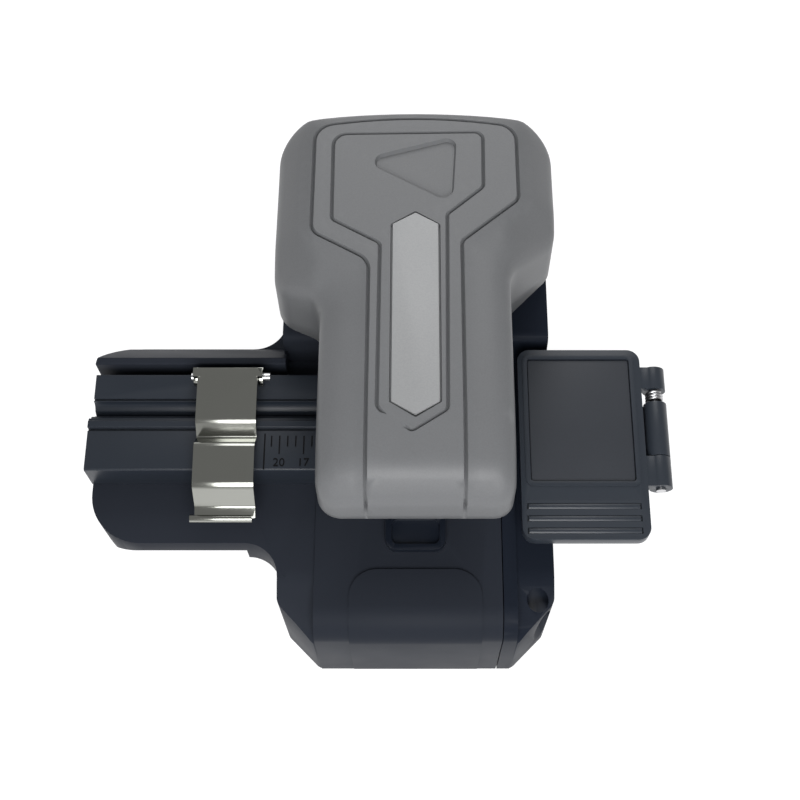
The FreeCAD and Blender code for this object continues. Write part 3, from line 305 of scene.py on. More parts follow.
FINISHES: dict[str, Finish] = {
    "casing": Finish(
        "satin_black_casting", (0.0125, 0.016, 0.0245), 0.42, grain_size=0.5, worn=0.03, gloss=0.03),
    "foot_rubber": Finish(
        "foot_rubber", (0.02, 0.02, 0.02), 0.8, grain_size=0.4, grain_depth=0.01, worn=0.02),
    "screw_steel": Finish("dark_zinc", (0.22, 0.22, 0.23), 0.35, 1.0, Grain.ROUND, 0.15, 0.002, 0.08),
    "holder": Finish(
        "black_anodised", (0.018, 0.023, 0.032), 0.4, grain_size=0.3, grain_depth=0.003, worn=0.03,
        gloss=0.3),
    "clamp_steel": Finish(
        "bright_plate", (0.27, 0.275, 0.25), 0.17, 1.0, Grain.ALONG_X, 0.35, 0.002, 0.04),
    "pin_steel": Finish(
        "ground_steel", (0.55, 0.55, 0.56), 0.22, 1.0, Grain.ALONG_Y, 0.12, 0.001, 0.04, 0.05),
    "spring_steel": Finish(
        "drawn_wire", (0.5, 0.5, 0.51), 0.28, 1.0, Grain.EVEN, 0.2, 0.001, 0.05, 0.05),
    "rest_metal": Finish("grey_anodised", (0.09, 0.09, 0.1), 0.4, 1.0, Grain.EVEN, 0.2, 0.002),
    "pad_rubber": Finish(
        "pad_rubber", (0.03, 0.03, 0.033), 0.75, grain_size=0.3, grain_depth=0.006, worn=0.02),
    "carriage_metal": Finish(
        "satin_alloy", (0.45, 0.45, 0.47), 0.38, 1.0, Grain.ALONG_X, 0.15, 0.002),
    "blade_metal": Finish(
        "hard_metal", (0.42, 0.42, 0.44), 0.2, 1.0, Grain.ROUND, 0.1, 0.001, 0.04),
    "lever_paint": Finish(
        "grey_crackle_paint", (0.149, 0.153, 0.159), 0.43, grain_size=0.22, grain_depth=0.012,
        worn=0.05, gloss=0.35),
    "badge": Finish(
        "satin_badge", (0.31, 0.315, 0.32), 0.5, 0.2, Grain.ALONG_Y, 0.12, 0.001, 0.02, 0.05),
    "frame_metal": Finish("black_steel", (0.02, 0.02, 0.022), 0.45, grain_size=0.3, worn=0.08),
    "slide_plastic": Finish(
        "slide_plastic", (0.008, 0.011, 0.018), 0.3, grain_size=0.3, worn=0.02, gloss=0.4),
    "bin_plastic": Finish(
        "bin_plastic", (0.026, 0.032, 0.042), 0.33, grain_size=0.3, grain_depth=0.003, worn=0.015,
        gloss=0.35),
    "scale_ink": Finish(
        "scale_ink", (0.003, 0.003, 0.004), 0.6, grain_size=0.2, worn=0.0, gloss=0.15),
    "panel_rubber": Finish(
        "panel_sheet", (0.026, 0.030, 0.038), 0.5, grain_size=0.18, grain_depth=0.008, worn=0.03),
}


# ---------------------------------------------------------------- mesh helpers
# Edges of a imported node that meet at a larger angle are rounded; flatter ones are joined
SHARP_DEG = 32
FLAT_DEG = 0.6
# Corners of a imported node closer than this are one
WELD = 0.0005


def offset_corners(corners: Sequence[Corner], distance: float) -> list[Corner]:
    """Rounded outline moved inwards by a distance.

    Args:
        corners: Anticlockwise corners with their radii.
        distance: Distance inwards; a negative one moves the outline outwards.

    Returns:
        Corners of the moved outline.
    """
    count = len(corners)
    moved = []
    for index in range(count):
        before = Vector(corners[index - 1][:2])
        here = Vector(corners[index][:2])
        after = Vector(corners[(index + 1) % count][:2])
        arrive = (here - before).normalized()
        leave = (after - here).normalized()
        inward = Vector((-arrive.y, arrive.x)) + Vector((-leave.y, leave.x))
        shift = inward * (2 * distance / inward.dot(inward))
        convex = arrive.x * leave.y - arrive.y * leave.x > 0
        radius = corners[index][2]
        radius = max(radius - distance, 0.15) if convex else radius + distance
        moved.append((here.x + shift.x, here.y + shift.y, radius))
    return moved


def rounded_points(corners: Sequence[Corner], arc_steps: int = 7, pitch: float = 1.2) -> list[Point]:
    """Points along a closed outline with rounded corners.

    Args:
        corners: Anticlockwise corners with their radii.
        arc_steps: Steps in each corner's arc.
        pitch: Longest step on the straight runs; 0 leaves them whole.

    Returns:
        Points of the outline.
    """
    count = len(corners)
    arcs = []
    for index in range(count):
        here = Vector(corners[index][:2])
        back = (Vector(corners[index - 1][:2]) - here).normalized()
        ahead = (Vector(corners[(index + 1) % count][:2]) - here).normalized()
        radius = corners[index][2]
        half = math.acos(max(-1.0, min(1.0, back.dot(ahead)))) / 2
        middle = (back + ahead).normalized()
        centre = here + middle * (radius / math.sin(half))
        start = here + back * (radius / math.tan(half)) - centre
        end = here + ahead * (radius / math.tan(half)) - centre
        turn = math.atan2(start.x * end.y - start.y * end.x, start.dot(end))
        arc = []
        for step in range(arc_steps + 1):
            angle = turn * step / arc_steps
            cos, sin = math.cos(angle), math.sin(angle)
            arc.append((centre.x + start.x * cos - start.y * sin, centre.y + start.x * sin + start.y * cos))
        arcs.append(arc)
    points: list[Point] = []
    for index in range(count):
        points.extend(arcs[index])
        if pitch > 0:
            first, last = Vector(arcs[index][-1]), Vector(arcs[(index + 1) % count][0])
            steps = max(round((last - first).length / pitch), 1)
            points.extend(tuple(first.lerp(last, step / steps)) for step in range(1, steps))
    return points


def inside(point: Point, outline: Sequence[Point]) -> bool:
    """Whether a point lies in a closed outline.

    Args:
        point: The point.
        outline: Points of the outline.

    Returns:
        True inside the outline.
    """
    x, y = point
    held = False
    for index in range(len(outline)):
        x0, y0 = outline[index - 1]
        x1, y1 = outline[index]
        if (y0 > y) != (y1 > y) and x < (x1 - x0) * (y - y0) / (y1 - y0) + x0:
            held = not held
    return held


def distance_to(point: Point, outline: Sequence[Point]) -> float:
    """Distance from a point to a closed outline.

    Args:
        point: The point.
        outline: Points of the outline.

    Returns:
        The shortest distance.
    """
    best = 1e9
    x, y = point
    for index in range(len(outline)):
        x0, y0 = outline[index - 1]
        x1, y1 = outline[index]
        dx, dy = x1 - x0, y1 - y0
        square = dx * dx + dy * dy
        share = 0.0 if square == 0 else max(0.0, min(1.0, ((x - x0) * dx + (y - y0) * dy) / square))
        best = min(best, math.hypot(x - x0 - share * dx, y - y0 - share * dy))
    return best


def smooth_step(low: float, high: float, value: float) -> float:
    """Share from 0 to 1 between two values, eased at both ends.

    Args:
        low: Value up to which the share is 0.
        high: Value from which the share is 1.
        value: The value itself.

    Returns:
        The share.
    """
    share = max(0.0, min(1.0, (value - low) / (high - low)))
    return share * share * (3 - 2 * share)


def make_block(mesh: bmesh.types.BMesh, low: Sequence[float], high: Sequence[float]) -> None:
    """Adds a block to a bmesh.

    Args:
        mesh: Geometry that takes the block.
        low: Its corner with the lowest coordinates.
        high: Its corner with the highest coordinates.
    """
    middle = [(a + b) / 2 for a, b in zip(low, high)]
    size = [b - a for a, b in zip(low, high)]
    matrix = Matrix.Translation(middle) @ Matrix.Diagonal((*size, 1))
    bmesh.ops.create_cube(mesh, size=1, matrix=matrix)


def new_object(
    name: str, mesh: bmesh.types.BMesh, smooth_deg: float = 35.0, home: Vector = HOME
) -> bpy.types.Object:
    """Turns a bmesh in millimetres into an object in metres.

    Args:
        name: Name of the piece.
        mesh: The geometry; it is freed.
        smooth_deg: Edges sharper than this angle stay sharp in the shading.
        home: Move from the drawing's origin to the frame's.

    Returns:
        The new object, linked to the scene.
    """
    bmesh.ops.translate(mesh, vec=home, verts=mesh.verts)
    bmesh.ops.scale(mesh, vec=(MM, MM, MM), verts=mesh.verts)
    bmesh.ops.recalc_face_normals(mesh, faces=mesh.faces)
    data = bpy.data.meshes.new(name)
    mesh.to_mesh(data)
    mesh.free()
    data.shade_smooth()
    data.set_sharp_from_angle(angle=math.radians(smooth_deg))
    made = bpy.data.objects.new(name, data)
    bpy.context.scene.collection.objects.link(made)
    return made


def dress(piece: bpy.types.Object, slot: str) -> None:
    """Gives a piece the finish of a material slot.

    Args:
        piece: The object.
        slot: Name of the record's material slot.
    """
    piece.data.materials.clear()
    piece.data.materials.append(FINISHES[slot].material())


def place(
    piece: bpy.types.Object, body: str, slot: str, *replaced: str, finish: str | None = None
) -> None:
    """Dresses a piece, puts it on its body and hides the nodes that it replaces.

    Args:
        piece: The object.
        body: Body that it moves with.
        slot: Material slot that it belongs to.
        *replaced: Nodes that it replaces.
        finish: Its finish, where that isn't the slot's own.
    """
    dress(piece, finish or slot)
    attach(piece, body)
    if replaced:
        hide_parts(*replaced)
    LOG.info("%s on %s: %d faces", piece.name, body, len(piece.data.polygons))


def softened(node: bpy.types.Object, width: float, whole_flats: bool = True) -> bmesh.types.BMesh:
    """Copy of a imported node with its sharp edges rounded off.

    Args:
        node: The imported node.
        width: Width of the rounded edge.
        whole_flats: Whether the triangles of each flat are joined first.

    Returns:
        The softened geometry in millimetres.
    """
    mesh = bmesh.new()
    mesh.from_mesh(node.data)
    bmesh.ops.scale(mesh, vec=(1 / MM, 1 / MM, 1 / MM), verts=mesh.verts)
    bmesh.ops.remove_doubles(mesh, verts=mesh.verts, dist=WELD)
    if whole_flats:
        bmesh.ops.dissolve_limit(
            mesh, angle_limit=math.radians(FLAT_DEG), verts=mesh.verts, edges=mesh.edges,
            use_dissolve_boundaries=False,
        )
    sharp = [
        edge for edge in mesh.edges
        if len(edge.link_faces) == 2 and edge.calc_face_angle(0.0) > math.radians(SHARP_DEG)
    ]
    bmesh.ops.bevel(
        mesh, geom=sharp, offset=width, offset_type="OFFSET", segments=2, profile=0.6, affect="EDGES",
        clamp_overlap=True, harden_normals=False,
    )
    # Rounding leaves gaps in the face list; a fresh copy keeps what is added later in a fixed order
    settled = bpy.data.meshes.new("settled")
    mesh.to_mesh(settled)
    mesh.clear()
    mesh.from_mesh(settled)
    bpy.data.meshes.remove(settled)
    return mesh


# ---------------------------------------------------------------- lever cover
@dataclass(frozen=True)
class Flank:
    """How one side of the lever's cover falls away beside its panel.

    Attributes:
        shelf: Fall of the narrow part's shelf towards its outer edge.
        widens: Where along the lever the narrow part ends and the wide part starts.
        turn: Distance from the middle at which the narrow part turns down.
        turn_gain: By how much that distance grows on the wide part.
        turn_grows: Where along the lever it starts and stops growing.
    """

    shelf: float
    widens: tuple[float, float]
    turn: float
    turn_gain: float
    turn_grows: tuple[float, float]


@dataclass
class LeverCover:
    """Sculpted cover of the lever, drawn square to its top and then tilted to its rest pose.

    Attributes:
        top: Height of the panel, in the lever's own level frame.
        slope_deg: Tilt from that frame to the pressed pose.
        wall: Thickness of the walls and the top.
        edge: Radius by which the top rolls over into the walls.
        front: Place of the front edge.
        narrow: Half width of the front part.
        wide: Half width of the rear part.
        panel_narrow: Half width of the panel on the front part.
        panel_wide: Half width of the panel on the rear part.
        groove: Width of the grooves.
        groove_depth: Depth of the outer groove; the inner one is a little shallower.
        bend: Radius by which the top bends down at the front.
        triangle_depth: Depth of the sunk triangle.
        badge_depth: Depth of the badge's recess.
        inner_gap: Place where the inner groove is interrupted.
        rim: Height of the cover's lower edge in the pressed pose.
        rim_bend: Place behind which the lower edge climbs.
        rim_climb: Its climb per length there.
        left: Fall of the left side.
        right: Fall of the right side.
    """

    top: float = 39.6
    slope_deg: float = 7.8
    wall: float = 1.5
    edge: float = 0.95
    front: float = -20.35
    narrow: float = 11.2
    wide: float = 17.1
    panel_narrow: float = 5.5
    panel_wide: float = 12.4
    groove: float = 0.48
    groove_depth: float = 0.5
    bend: float = 4.2
    triangle_depth: float = 0.5
    badge_depth: float = 0.4
    inner_gap: Point = (-2.3, -12.1)
    rim: float = 24.4
    rim_bend: float = 24.0
    rim_climb: float = 0.375
    left: Flank = Flank(1.5, (2.0, 9.6), 11.9, 1.4, (8.0, 14.0))
    right: Flank = Flank(0.55, (6.5, 15.5), 10.9, 2.3, (13.0, 19.0))

    def outline(self) -> list[Corner]:
        """Plan outline of the whole cover."""
        return [
            (-self.narrow, self.front, 2.9), (self.narrow, self.front, 2.4),
            (self.narrow, 8.0, 4.5), (self.wide, 14.8, 3.6),
            (self.wide, 29.9, 4.8), (0, 32.1, 90.0), (-self.wide, 29.9, 4.8),
            (-self.wide, 7.4, 4.0), (-self.narrow, 4.4, 3.0),
        ]

    def panel(self) -> list[Corner]:
        """Plan outline of the panel inside the outer groove; it runs out over the front edge."""
        return [
            (-self.panel_narrow, self.front - 4.0, 0.3), (self.panel_narrow, self.front - 4.0, 0.3),
            (self.panel_narrow, 11.4, 1.2), (self.panel_wide, 17.4, 1.6),
            (self.panel_wide, 28.4, 2.6), (0, 30.2, 60.0), (-self.panel_wide, 28.4, 2.6),
            (-self.panel_wide, 12.8, 1.8), (-self.panel_narrow, 8.8, 2.4),
        ]

    def inner_line(self) -> list[Corner]:
        """Middle line of the inner groove, which follows the badge and the panel's rear."""
        return [
            (-4.3, -10.7, 1.3), (-0.4, -13.4, 0.6), (3.6, -10.8, 0.9),
            (3.8, 15.2, 0.7), (8.2, 19.2, 1.0), (8.3, 27.5, 1.1), (-10.1, 27.2, 1.8),
            (-10.0, 14.5, 0.8), (-4.2, 11.1, 0.9),
        ]

    def triangle(self) -> list[Corner]:
        """Outline of the sunk triangle."""
        return [(4.5, 16.6, 1.4), (5.1, 26.9, 1.2), (-6.9, 23.3, 1.3)]

    def badge_seat(self, gap: float = 0.2) -> list[Corner]:
        """Outline of the badge's recess.

        Args:
            gap: Gap round the badge.

        Returns:
            Corners of the recess.
        """
        half = 2.75 + gap
        return [
            (-half, -9.95, 0.2), (0, -11.6 - 1.2 * gap, 0.2), (half, -9.95, 0.2),
            (half, 13.75, 0.2), (0, 15.4 + 1.2 * gap, 0.2), (-half, 13.75, 0.2),
        ]

    def height(self, x: float, y: float, beside: float, inwards: float) -> float:
        """Height of the cover's top, without its grooves.

        Args:
            x: Place across the lever.
            y: Place along the lever.
            beside: Distance outside the panel, 0 on it.
            inwards: Distance from the top's edge.

        Returns:
            Height in the lever's own level frame.
        """
        flank = self.left if x < 0 else self.right
        slim = 1 - smooth_step(*flank.widens, y)
        fall = 0.22 * smooth_step(0.1, 0.7, beside)
        fall += flank.shelf * slim * min(beside / (self.narrow - self.panel_narrow), 1.2) ** 1.5
        fall += 0.35 * (1 - slim) * min(beside / (self.wide - self.panel_wide), 1.2) ** 2
        over = abs(x) - flank.turn - flank.turn_gain * smooth_step(*flank.turn_grows, y)
        fall += (1 - 0.75 * slim) * 0.35 * (over + math.sqrt(over * over + 0.15))
        ahead = self.front + self.bend - y
        if ahead > 0:
            fall += self.bend - math.sqrt(self.bend * self.bend - ahead * ahead)
        early = max(-8.5 - y, 0.0)
        fall += 0.008 * early * early
        near = max(1 - inwards / 1.5, 0.0)
        return self.top - fall - 0.25 * near * near

    def relief(self, x: float, y: float, lines: dict[str, list[Point]], beside: float) -> float:
        """Depth of the grooves and recesses at a place.

        Args:
            x: Place across the lever.
            y: Place along the lever.
            lines: Sampled outlines by name.
            beside: Distance to the panel's outline.

        Returns:
            Depth below the smooth top.
        """
        depth = 0.0
        reach = self.groove / 2
        if inside((x, y), lines["triangle"]):
            depth = min(distance_to((x, y), lines["triangle"]) / 0.2, 1.0) * self.triangle_depth
        if inside((x, y), lines["badge"]):
            depth = self.badge_depth * smooth_step(0.0, 0.05, distance_to((x, y), lines["badge"]))
        if beside < reach * 1.01:
            depth = max(depth, self.groove_depth * (1 - beside / reach))
        near = distance_to((x, y), lines["inner"])
        if near < reach * 1.01:
            fade = smooth_step(1.1, 2.1, math.dist((x, y), self.inner_gap))
            depth = max(depth, 0.85 * self.groove_depth * (1 - near / reach) * fade)
        return depth

    def tilt(self) -> Matrix:
        """Turn from the level frame to the rest pose, about the hinge."""
        turn = Matrix.Rotation(math.radians(self.slope_deg - LEVER_RISE_DEG), 4, "X")
        return Matrix.Translation(LEVER_HINGE) @ turn @ Matrix.Translation(-LEVER_HINGE)

    def floor(self, y: float) -> float:
        """Height of the cover's lower edge under a place, in the level frame.

        Args:
            y: Place along the lever, in the level frame.

        Returns:
            Height of the rim.
        """
        slope = math.radians(self.slope_deg)
        height = LEVER_HINGE.z - 6.0
        for _ in range(6):
            ahead, up = y - LEVER_HINGE.y, height - LEVER_HINGE.z
            pressed_y = LEVER_HINGE.y + ahead * math.cos(slope) - up * math.sin(slope)
            pressed_z = LEVER_HINGE.z + ahead * math.sin(slope) + up * math.cos(slope)
            wanted = self.rim + max(0.0, pressed_y - self.rim_bend) * self.rim_climb
            height += (wanted - pressed_z) / math.cos(slope)
        return height

    def mesh(self) -> bmesh.types.BMesh:
        """Builds the whole cover: top with grooves, rolled edge, walls and hollow inside.

        Returns:
            The cover's geometry at rest, in millimetres.
        """
        edge_line = rounded_points(offset_corners(self.outline(), self.edge), 10, 0.7)
        half = self.groove / 2
        drawn = {
            "panel": (self.panel(), 8, 0.7, (half, -half)),
            "inner": (self.inner_line(), 6, 0.7, (half, -half)),
            "triangle": (self.triangle(), 10, 0.5, (0.22,)),
            "badge": (self.badge_seat(), 3, 0.7, (0.06,)),
        }
        rings = {
            name: rounded_points(corners, steps, pitch)
            for name, (corners, steps, pitch, _) in drawn.items()
        }
        beside_rings = [
            rounded_points(offset_corners(corners, inwards), steps, pitch)
            for corners, steps, pitch, moves in drawn.values() for inwards in moves
        ]
        vertices, faces, border = self._triangulate(edge_line, [*rings.values(), *beside_rings])
        mesh = bmesh.new()
        top, cuts = [], []
        for x, y in vertices:
            near = distance_to((x, y), rings["panel"])
            beside = 0.0 if inside((x, y), rings["panel"]) else near
            cuts.append(self.relief(x, y, rings, near))
            level = self.height(x, y, beside, distance_to((x, y), edge_line))
            top.append(mesh.verts.new((x, y, level - cuts[-1])))
        for face in faces:
            mesh.faces.new([top[index] for index in face])
        spots = [vertices[index] for index in border]
        self._walls(
            mesh, [top[index] for index in border], spots, [cuts[index] for index in border],
            self._falls(spots, rings["panel"], edge_line),
        )
        bmesh.ops.transform(mesh, matrix=self.tilt(), verts=mesh.verts)
        return mesh

    def _falls(
        self, spots: list[Point], panel: Sequence[Point], edge_line: Sequence[Point]
    ) -> list[float]:
        """Angle by which the top falls outwards along its edge, evened out along the edge.

        Args:
            spots: Places along the top's edge.
            panel: Sampled outline of the panel.
            edge_line: Sampled outline of the top.

        Returns:
            The angle at each place.
        """
        slopes = []
        for x, y in spots:
            inner = (x * 0.985, y * 0.985 + 0.09)
            levels = []
            for spot in ((x, y), inner):
                beside = 0.0 if inside(spot, panel) else distance_to(spot, panel)
                levels.append(self.height(*spot, beside, distance_to(spot, edge_line)))
            run = max(distance_to(inner, edge_line), 0.02)
            slopes.append(max(0.0, min((levels[1] - levels[0]) / run, 1.22)))
        count, near = len(slopes), range(-3, 4)
        return [
            math.atan(sum(slopes[(index + step) % count] for step in near) / len(near))
            for index in range(count)
        ]

    @staticmethod
    def _between(border: list[Point], taken: set[tuple[int, int]], cell: float) -> list[Vector]:
        """Points in staggered rows inside an outline, closer together near the front.

        Args:
            border: Points of the outline.
            taken: Cells that hold a point already; their neighbours stay free too.
            cell: Side of a cell.

        Returns:
            The points.
        """
        pitch, front_share, front = 0.8, 0.4, -13
        xs = [point[0] for point in border]
        ys = [point[1] for point in border]
        points = []
        y = min(ys) + pitch / 2
        row = 0
        while y < max(ys):
            x = min(xs) + pitch * (0.5 if row % 2 else 1.0)
            while x < max(xs):
                column, line = int(x / cell), int(y / cell)
                free = all((column + i, line + j) not in taken for i in (-1, 0, 1) for j in (-1, 0, 1))
                if free and inside((x, y), border):
                    points.append(Vector((x, y)))
                x += pitch
            y += pitch if y > front else pitch * front_share
            row += 1
        return points

    def _triangulate(
        self, border: list[Point], lines: Iterable[list[Point]]
    ) -> tuple[list[Point], list[list[int]], list[int]]:
        """Fills an outline with triangles that keep every given line as edges.

        Args:
            border: Points of the outline.
            lines: Closed lines to keep; parts outside the outline are dropped.

        Returns:
            Vertices, faces and the indices of the vertices along the outline.
        """
        points: list[Vector] = [Vector(p) for p in border]
        edges = [(index, (index + 1) % len(border)) for index in range(len(border))]
        for line in lines:
            start = len(points)
            points.extend(Vector(p) for p in line)
            edges.extend((start + index, start + (index + 1) % len(line)) for index in range(len(line)))
        cell = 0.45
        taken = {(int(point.x / cell), int(point.y / cell)) for point in points}
        points.extend(self._between(border, taken, cell))
        vertices, _, faces, _, _, _ = delaunay_2d_cdt(points, edges, [], 1, 1e-5, True)
        kept = []
        for face in faces:
            middle = sum((vertices[index] for index in face), Vector((0, 0))) / len(face)
            if inside((middle.x, middle.y), border):
                kept.append(list(face))
        used = {index for face in kept for index in face}
        remap = {old: new for new, old in enumerate(sorted(used))}
        flat = [(vertices[old].x, vertices[old].y) for old in sorted(used)]
        sides = dict.fromkeys((face[index - 1], face[index]) for face in kept for index in range(3))
        chain = {a: b for a, b in sides if (b, a) not in sides}
        first = next(iter(chain))
        loop = [first]
        while chain[loop[-1]] != first:
            loop.append(chain[loop[-1]])
            if len(loop) > len(chain):
                raise ValueError("the cover's edge is not one closed line")
        return flat, [[remap[i] for i in face] for face in kept], [remap[i] for i in loop]

    def _walls(
        self, mesh: bmesh.types.BMesh, loop: list[bmesh.types.BMVert], flat: list[Point], cuts: list[float],
        falls: list[float],
    ) -> None:
        """Rolls the top's edge over and runs it down to the rim and up the inside.

        Args:
            mesh: Geometry that takes the walls.
            loop: Vertices along the top's edge.
            flat: The same places in plan.
            cuts: Depth of the grooves there, which run on down the outside.
            falls: Angle by which the top already falls there; the roll takes over from it.
        """
        count = len(flat)
        normals = []
        for index in range(count):
            ahead = Vector(flat[(index + 2) % count]) - Vector(flat[index - 2])
            normals.append(Vector((ahead.y, -ahead.x)).normalized())
        rows = [loop]

        def row(reach: float, level: Callable[[int], float], sunk: float = 0.0) -> None:
            """Adds a row of vertices round the cover.

            Args:
                reach: Distance outside the top's edge.
                level: Height of the row at each place.
                sunk: Share of the grooves' depth by which it is sunk there.
            """
            made = []
            for index in range(count):
                spot = Vector(flat[index]) + normals[index] * (reach - cuts[index] * sunk)
                made.append(mesh.verts.new((spot.x, spot.y, level(index))))
            rows.append(made)

        steps = 6
        radii = [self.edge / (1 - math.sin(fall)) for fall in falls]
        foot = [0.0] * count
        for step in range(1, steps + 1):
            share = step / steps
            made = []
            for index in range(count):
                angle = falls[index] + (math.pi / 2 - falls[index]) * share
                reach = radii[index] * (math.sin(angle) - math.sin(falls[index])) - cuts[index] * share
                drop = radii[index] * (math.cos(falls[index]) - math.cos(angle))
                spot = Vector(flat[index]) + normals[index] * reach
                foot[index] = loop[index].co.z - drop + cuts[index] * share
                made.append(mesh.verts.new((spot.x, spot.y, foot[index])))
            rows.append(made)
        rims = [self.floor(p[1]) for p in flat]
        for share in (0.3, 0.65):
            row(self.edge, lambda i, s=share: foot[i] * (1 - s) + rims[i] * s, 1.0 - share)
        outer_break, inner_break = 0.25, 0.2
        row(self.edge, lambda i: rims[i] + outer_break)
        row(self.edge - outer_break, lambda i: rims[i])
        row(self.edge - self.wall + inner_break, lambda i: rims[i])
        row(self.edge - self.wall, lambda i: rims[i] + inner_break)
        ceiling = self.top - 0.6 - self.wall
        row(self.edge - self.wall, lambda i: min(ceiling, loop[i].co.z - 1.3))
        for upper, lower in zip(rows, rows[1:]):
            for index in range(count):
                following = (index + 1) % count
                mesh.faces.new((upper[index], upper[following], lower[following], lower[index]))
        cap = mesh.faces.new(rows[-1])
        bmesh.ops.triangulate(mesh, faces=[cap])

    def build(self) -> None:
        """Makes the cover."""
        place(new_object("lever_cover", self.mesh(), 50), "lever", "lever_paint", "lever_shell")


# ---------------------------------------------------------------- dressed nodes
@dataclass
class Housing:
    """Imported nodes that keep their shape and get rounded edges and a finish.

    Attributes:
        nodes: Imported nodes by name.
        slots: Material slot of each node.
        widths: Rounded edge width of each node that is softened.
    """

    nodes: dict[str, bpy.types.Object]
    slots: dict[str, str]
    widths: dict[str, float] = field(default_factory=lambda: {
        "base_body": 0.16, "side_cover": 0.16, "bottom_plate": 0.2, "rubber_feet": 0.25,
        "holder_plate": 0.1, "lock_slide": 0.2, "bin_box": 0.25, "bin_lid": 0.12, "lid_panel": 0.08,
        "blade_carriage": 0.15, "lever_frame": 0.15, "drive_cam": 0.12, "hinge_brackets": 0.15,
        "fibre_rests": 0.1, "lower_pads": 0.08, "upper_pads": 0.08, "pad_carrier": 0.12,
        "rail_blocks": 0.15, "lever_badge": 0.06, "fibre_clamp": 0.06,
    })

    def build(self) -> None:
        """Softens and dresses the nodes."""
        for name, width in self.widths.items():
            node = self.nodes[name]
            mesh = softened(node, width, name != "bin_lid")
            if name == "bin_lid":
                self._level_lid(mesh)
            piece = new_object(name + "_dressed", mesh, home=Vector())
            place(piece, node["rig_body"], self.slots[name], name)
        for name, node in self.nodes.items():
            if name not in self.widths:
                dress(node, self.slots[name])
                LOG.info("%s dressed as it is", name)

    @staticmethod
    def _level_lid(mesh: bmesh.types.BMesh) -> None:
        """Fills the lid's field between the finger ribs, so that narrow grooves stay beside each rib.

        Args:
            mesh: The lid's geometry.
        """
        left, right, below, level = 13.45, 27.45, 23.4, 23.98
        front, back = -18.925, -14.275
        first_rib, pitch, half = -18.15, 1.55, 0.39
        ribs = [first_rib + pitch * index for index in range(3)]
        lows = [front] + [rib + half for rib in ribs]
        highs = [rib - half for rib in ribs] + [back]
        for low, high in zip(lows, highs):
            make_block(mesh, HOME + Vector((left, low, below)), HOME + Vector((right, high, level)))


# ---------------------------------------------------------------- coil springs
@dataclass
class Coil:
    """One coil spring as real wire, in place of a packed sleeve.

    Attributes:
        start: Centre of its first end.
        end: Centre of its last end.
        radius: Radius of the wire's middle line.
        wire: Radius of the wire.
        turns: Number of turns.
        closing: Share of the length over which the pitch eases off at each end.
    """

    start: Vector
    end: Vector
    radius: float
    wire: float
    turns: int
    closing: float = 0.1

    def mesh_into(self, mesh: bmesh.types.BMesh) -> None:
        """Adds the wire to a bmesh.

        Args:
            mesh: Geometry in millimetres that takes the wire.
        """
        along = self.end - self.start
        between = along.length - 2 * self.wire
        forward = along.normalized()
        aside = forward.orthogonal().normalized()
        third = forward.cross(aside)
        around = 8
        steps = self.turns * 24
        rings = []
        for step in range(steps + 1):
            share = step / steps
            angle = 2 * math.pi * self.turns * share
            level = self.wire + between * self._risen(share)
            out = aside * math.cos(angle) + third * math.sin(angle)
            centre = self.start + forward * level + out * self.radius
            ring = []
            for part in range(around):
                turn = 2 * math.pi * part / around
                offset = out * math.cos(turn) + forward * math.sin(turn)
                ring.append(mesh.verts.new(centre + offset * self.wire))
            rings.append(ring)
        for first, second in zip(rings, rings[1:]):
            for part in range(around):
                following = (part + 1) % around
                mesh.faces.new((first[part], first[following], second[following], second[part]))
        mesh.faces.new(rings[0])
        mesh.faces.new(rings[-1])

    def _risen(self, share: float) -> float:
        """Share of the length reached after a share of the turns, so that the end turns lie flat.

        Args:
            share: Share of the turns.

        Returns:
            Share of the length.
        """
        if share < self.closing:
            return share * share / self.closing
        if share > 1 - self.closing:
            return 1 - (1 - share) * (1 - share) / self.closing
        return share


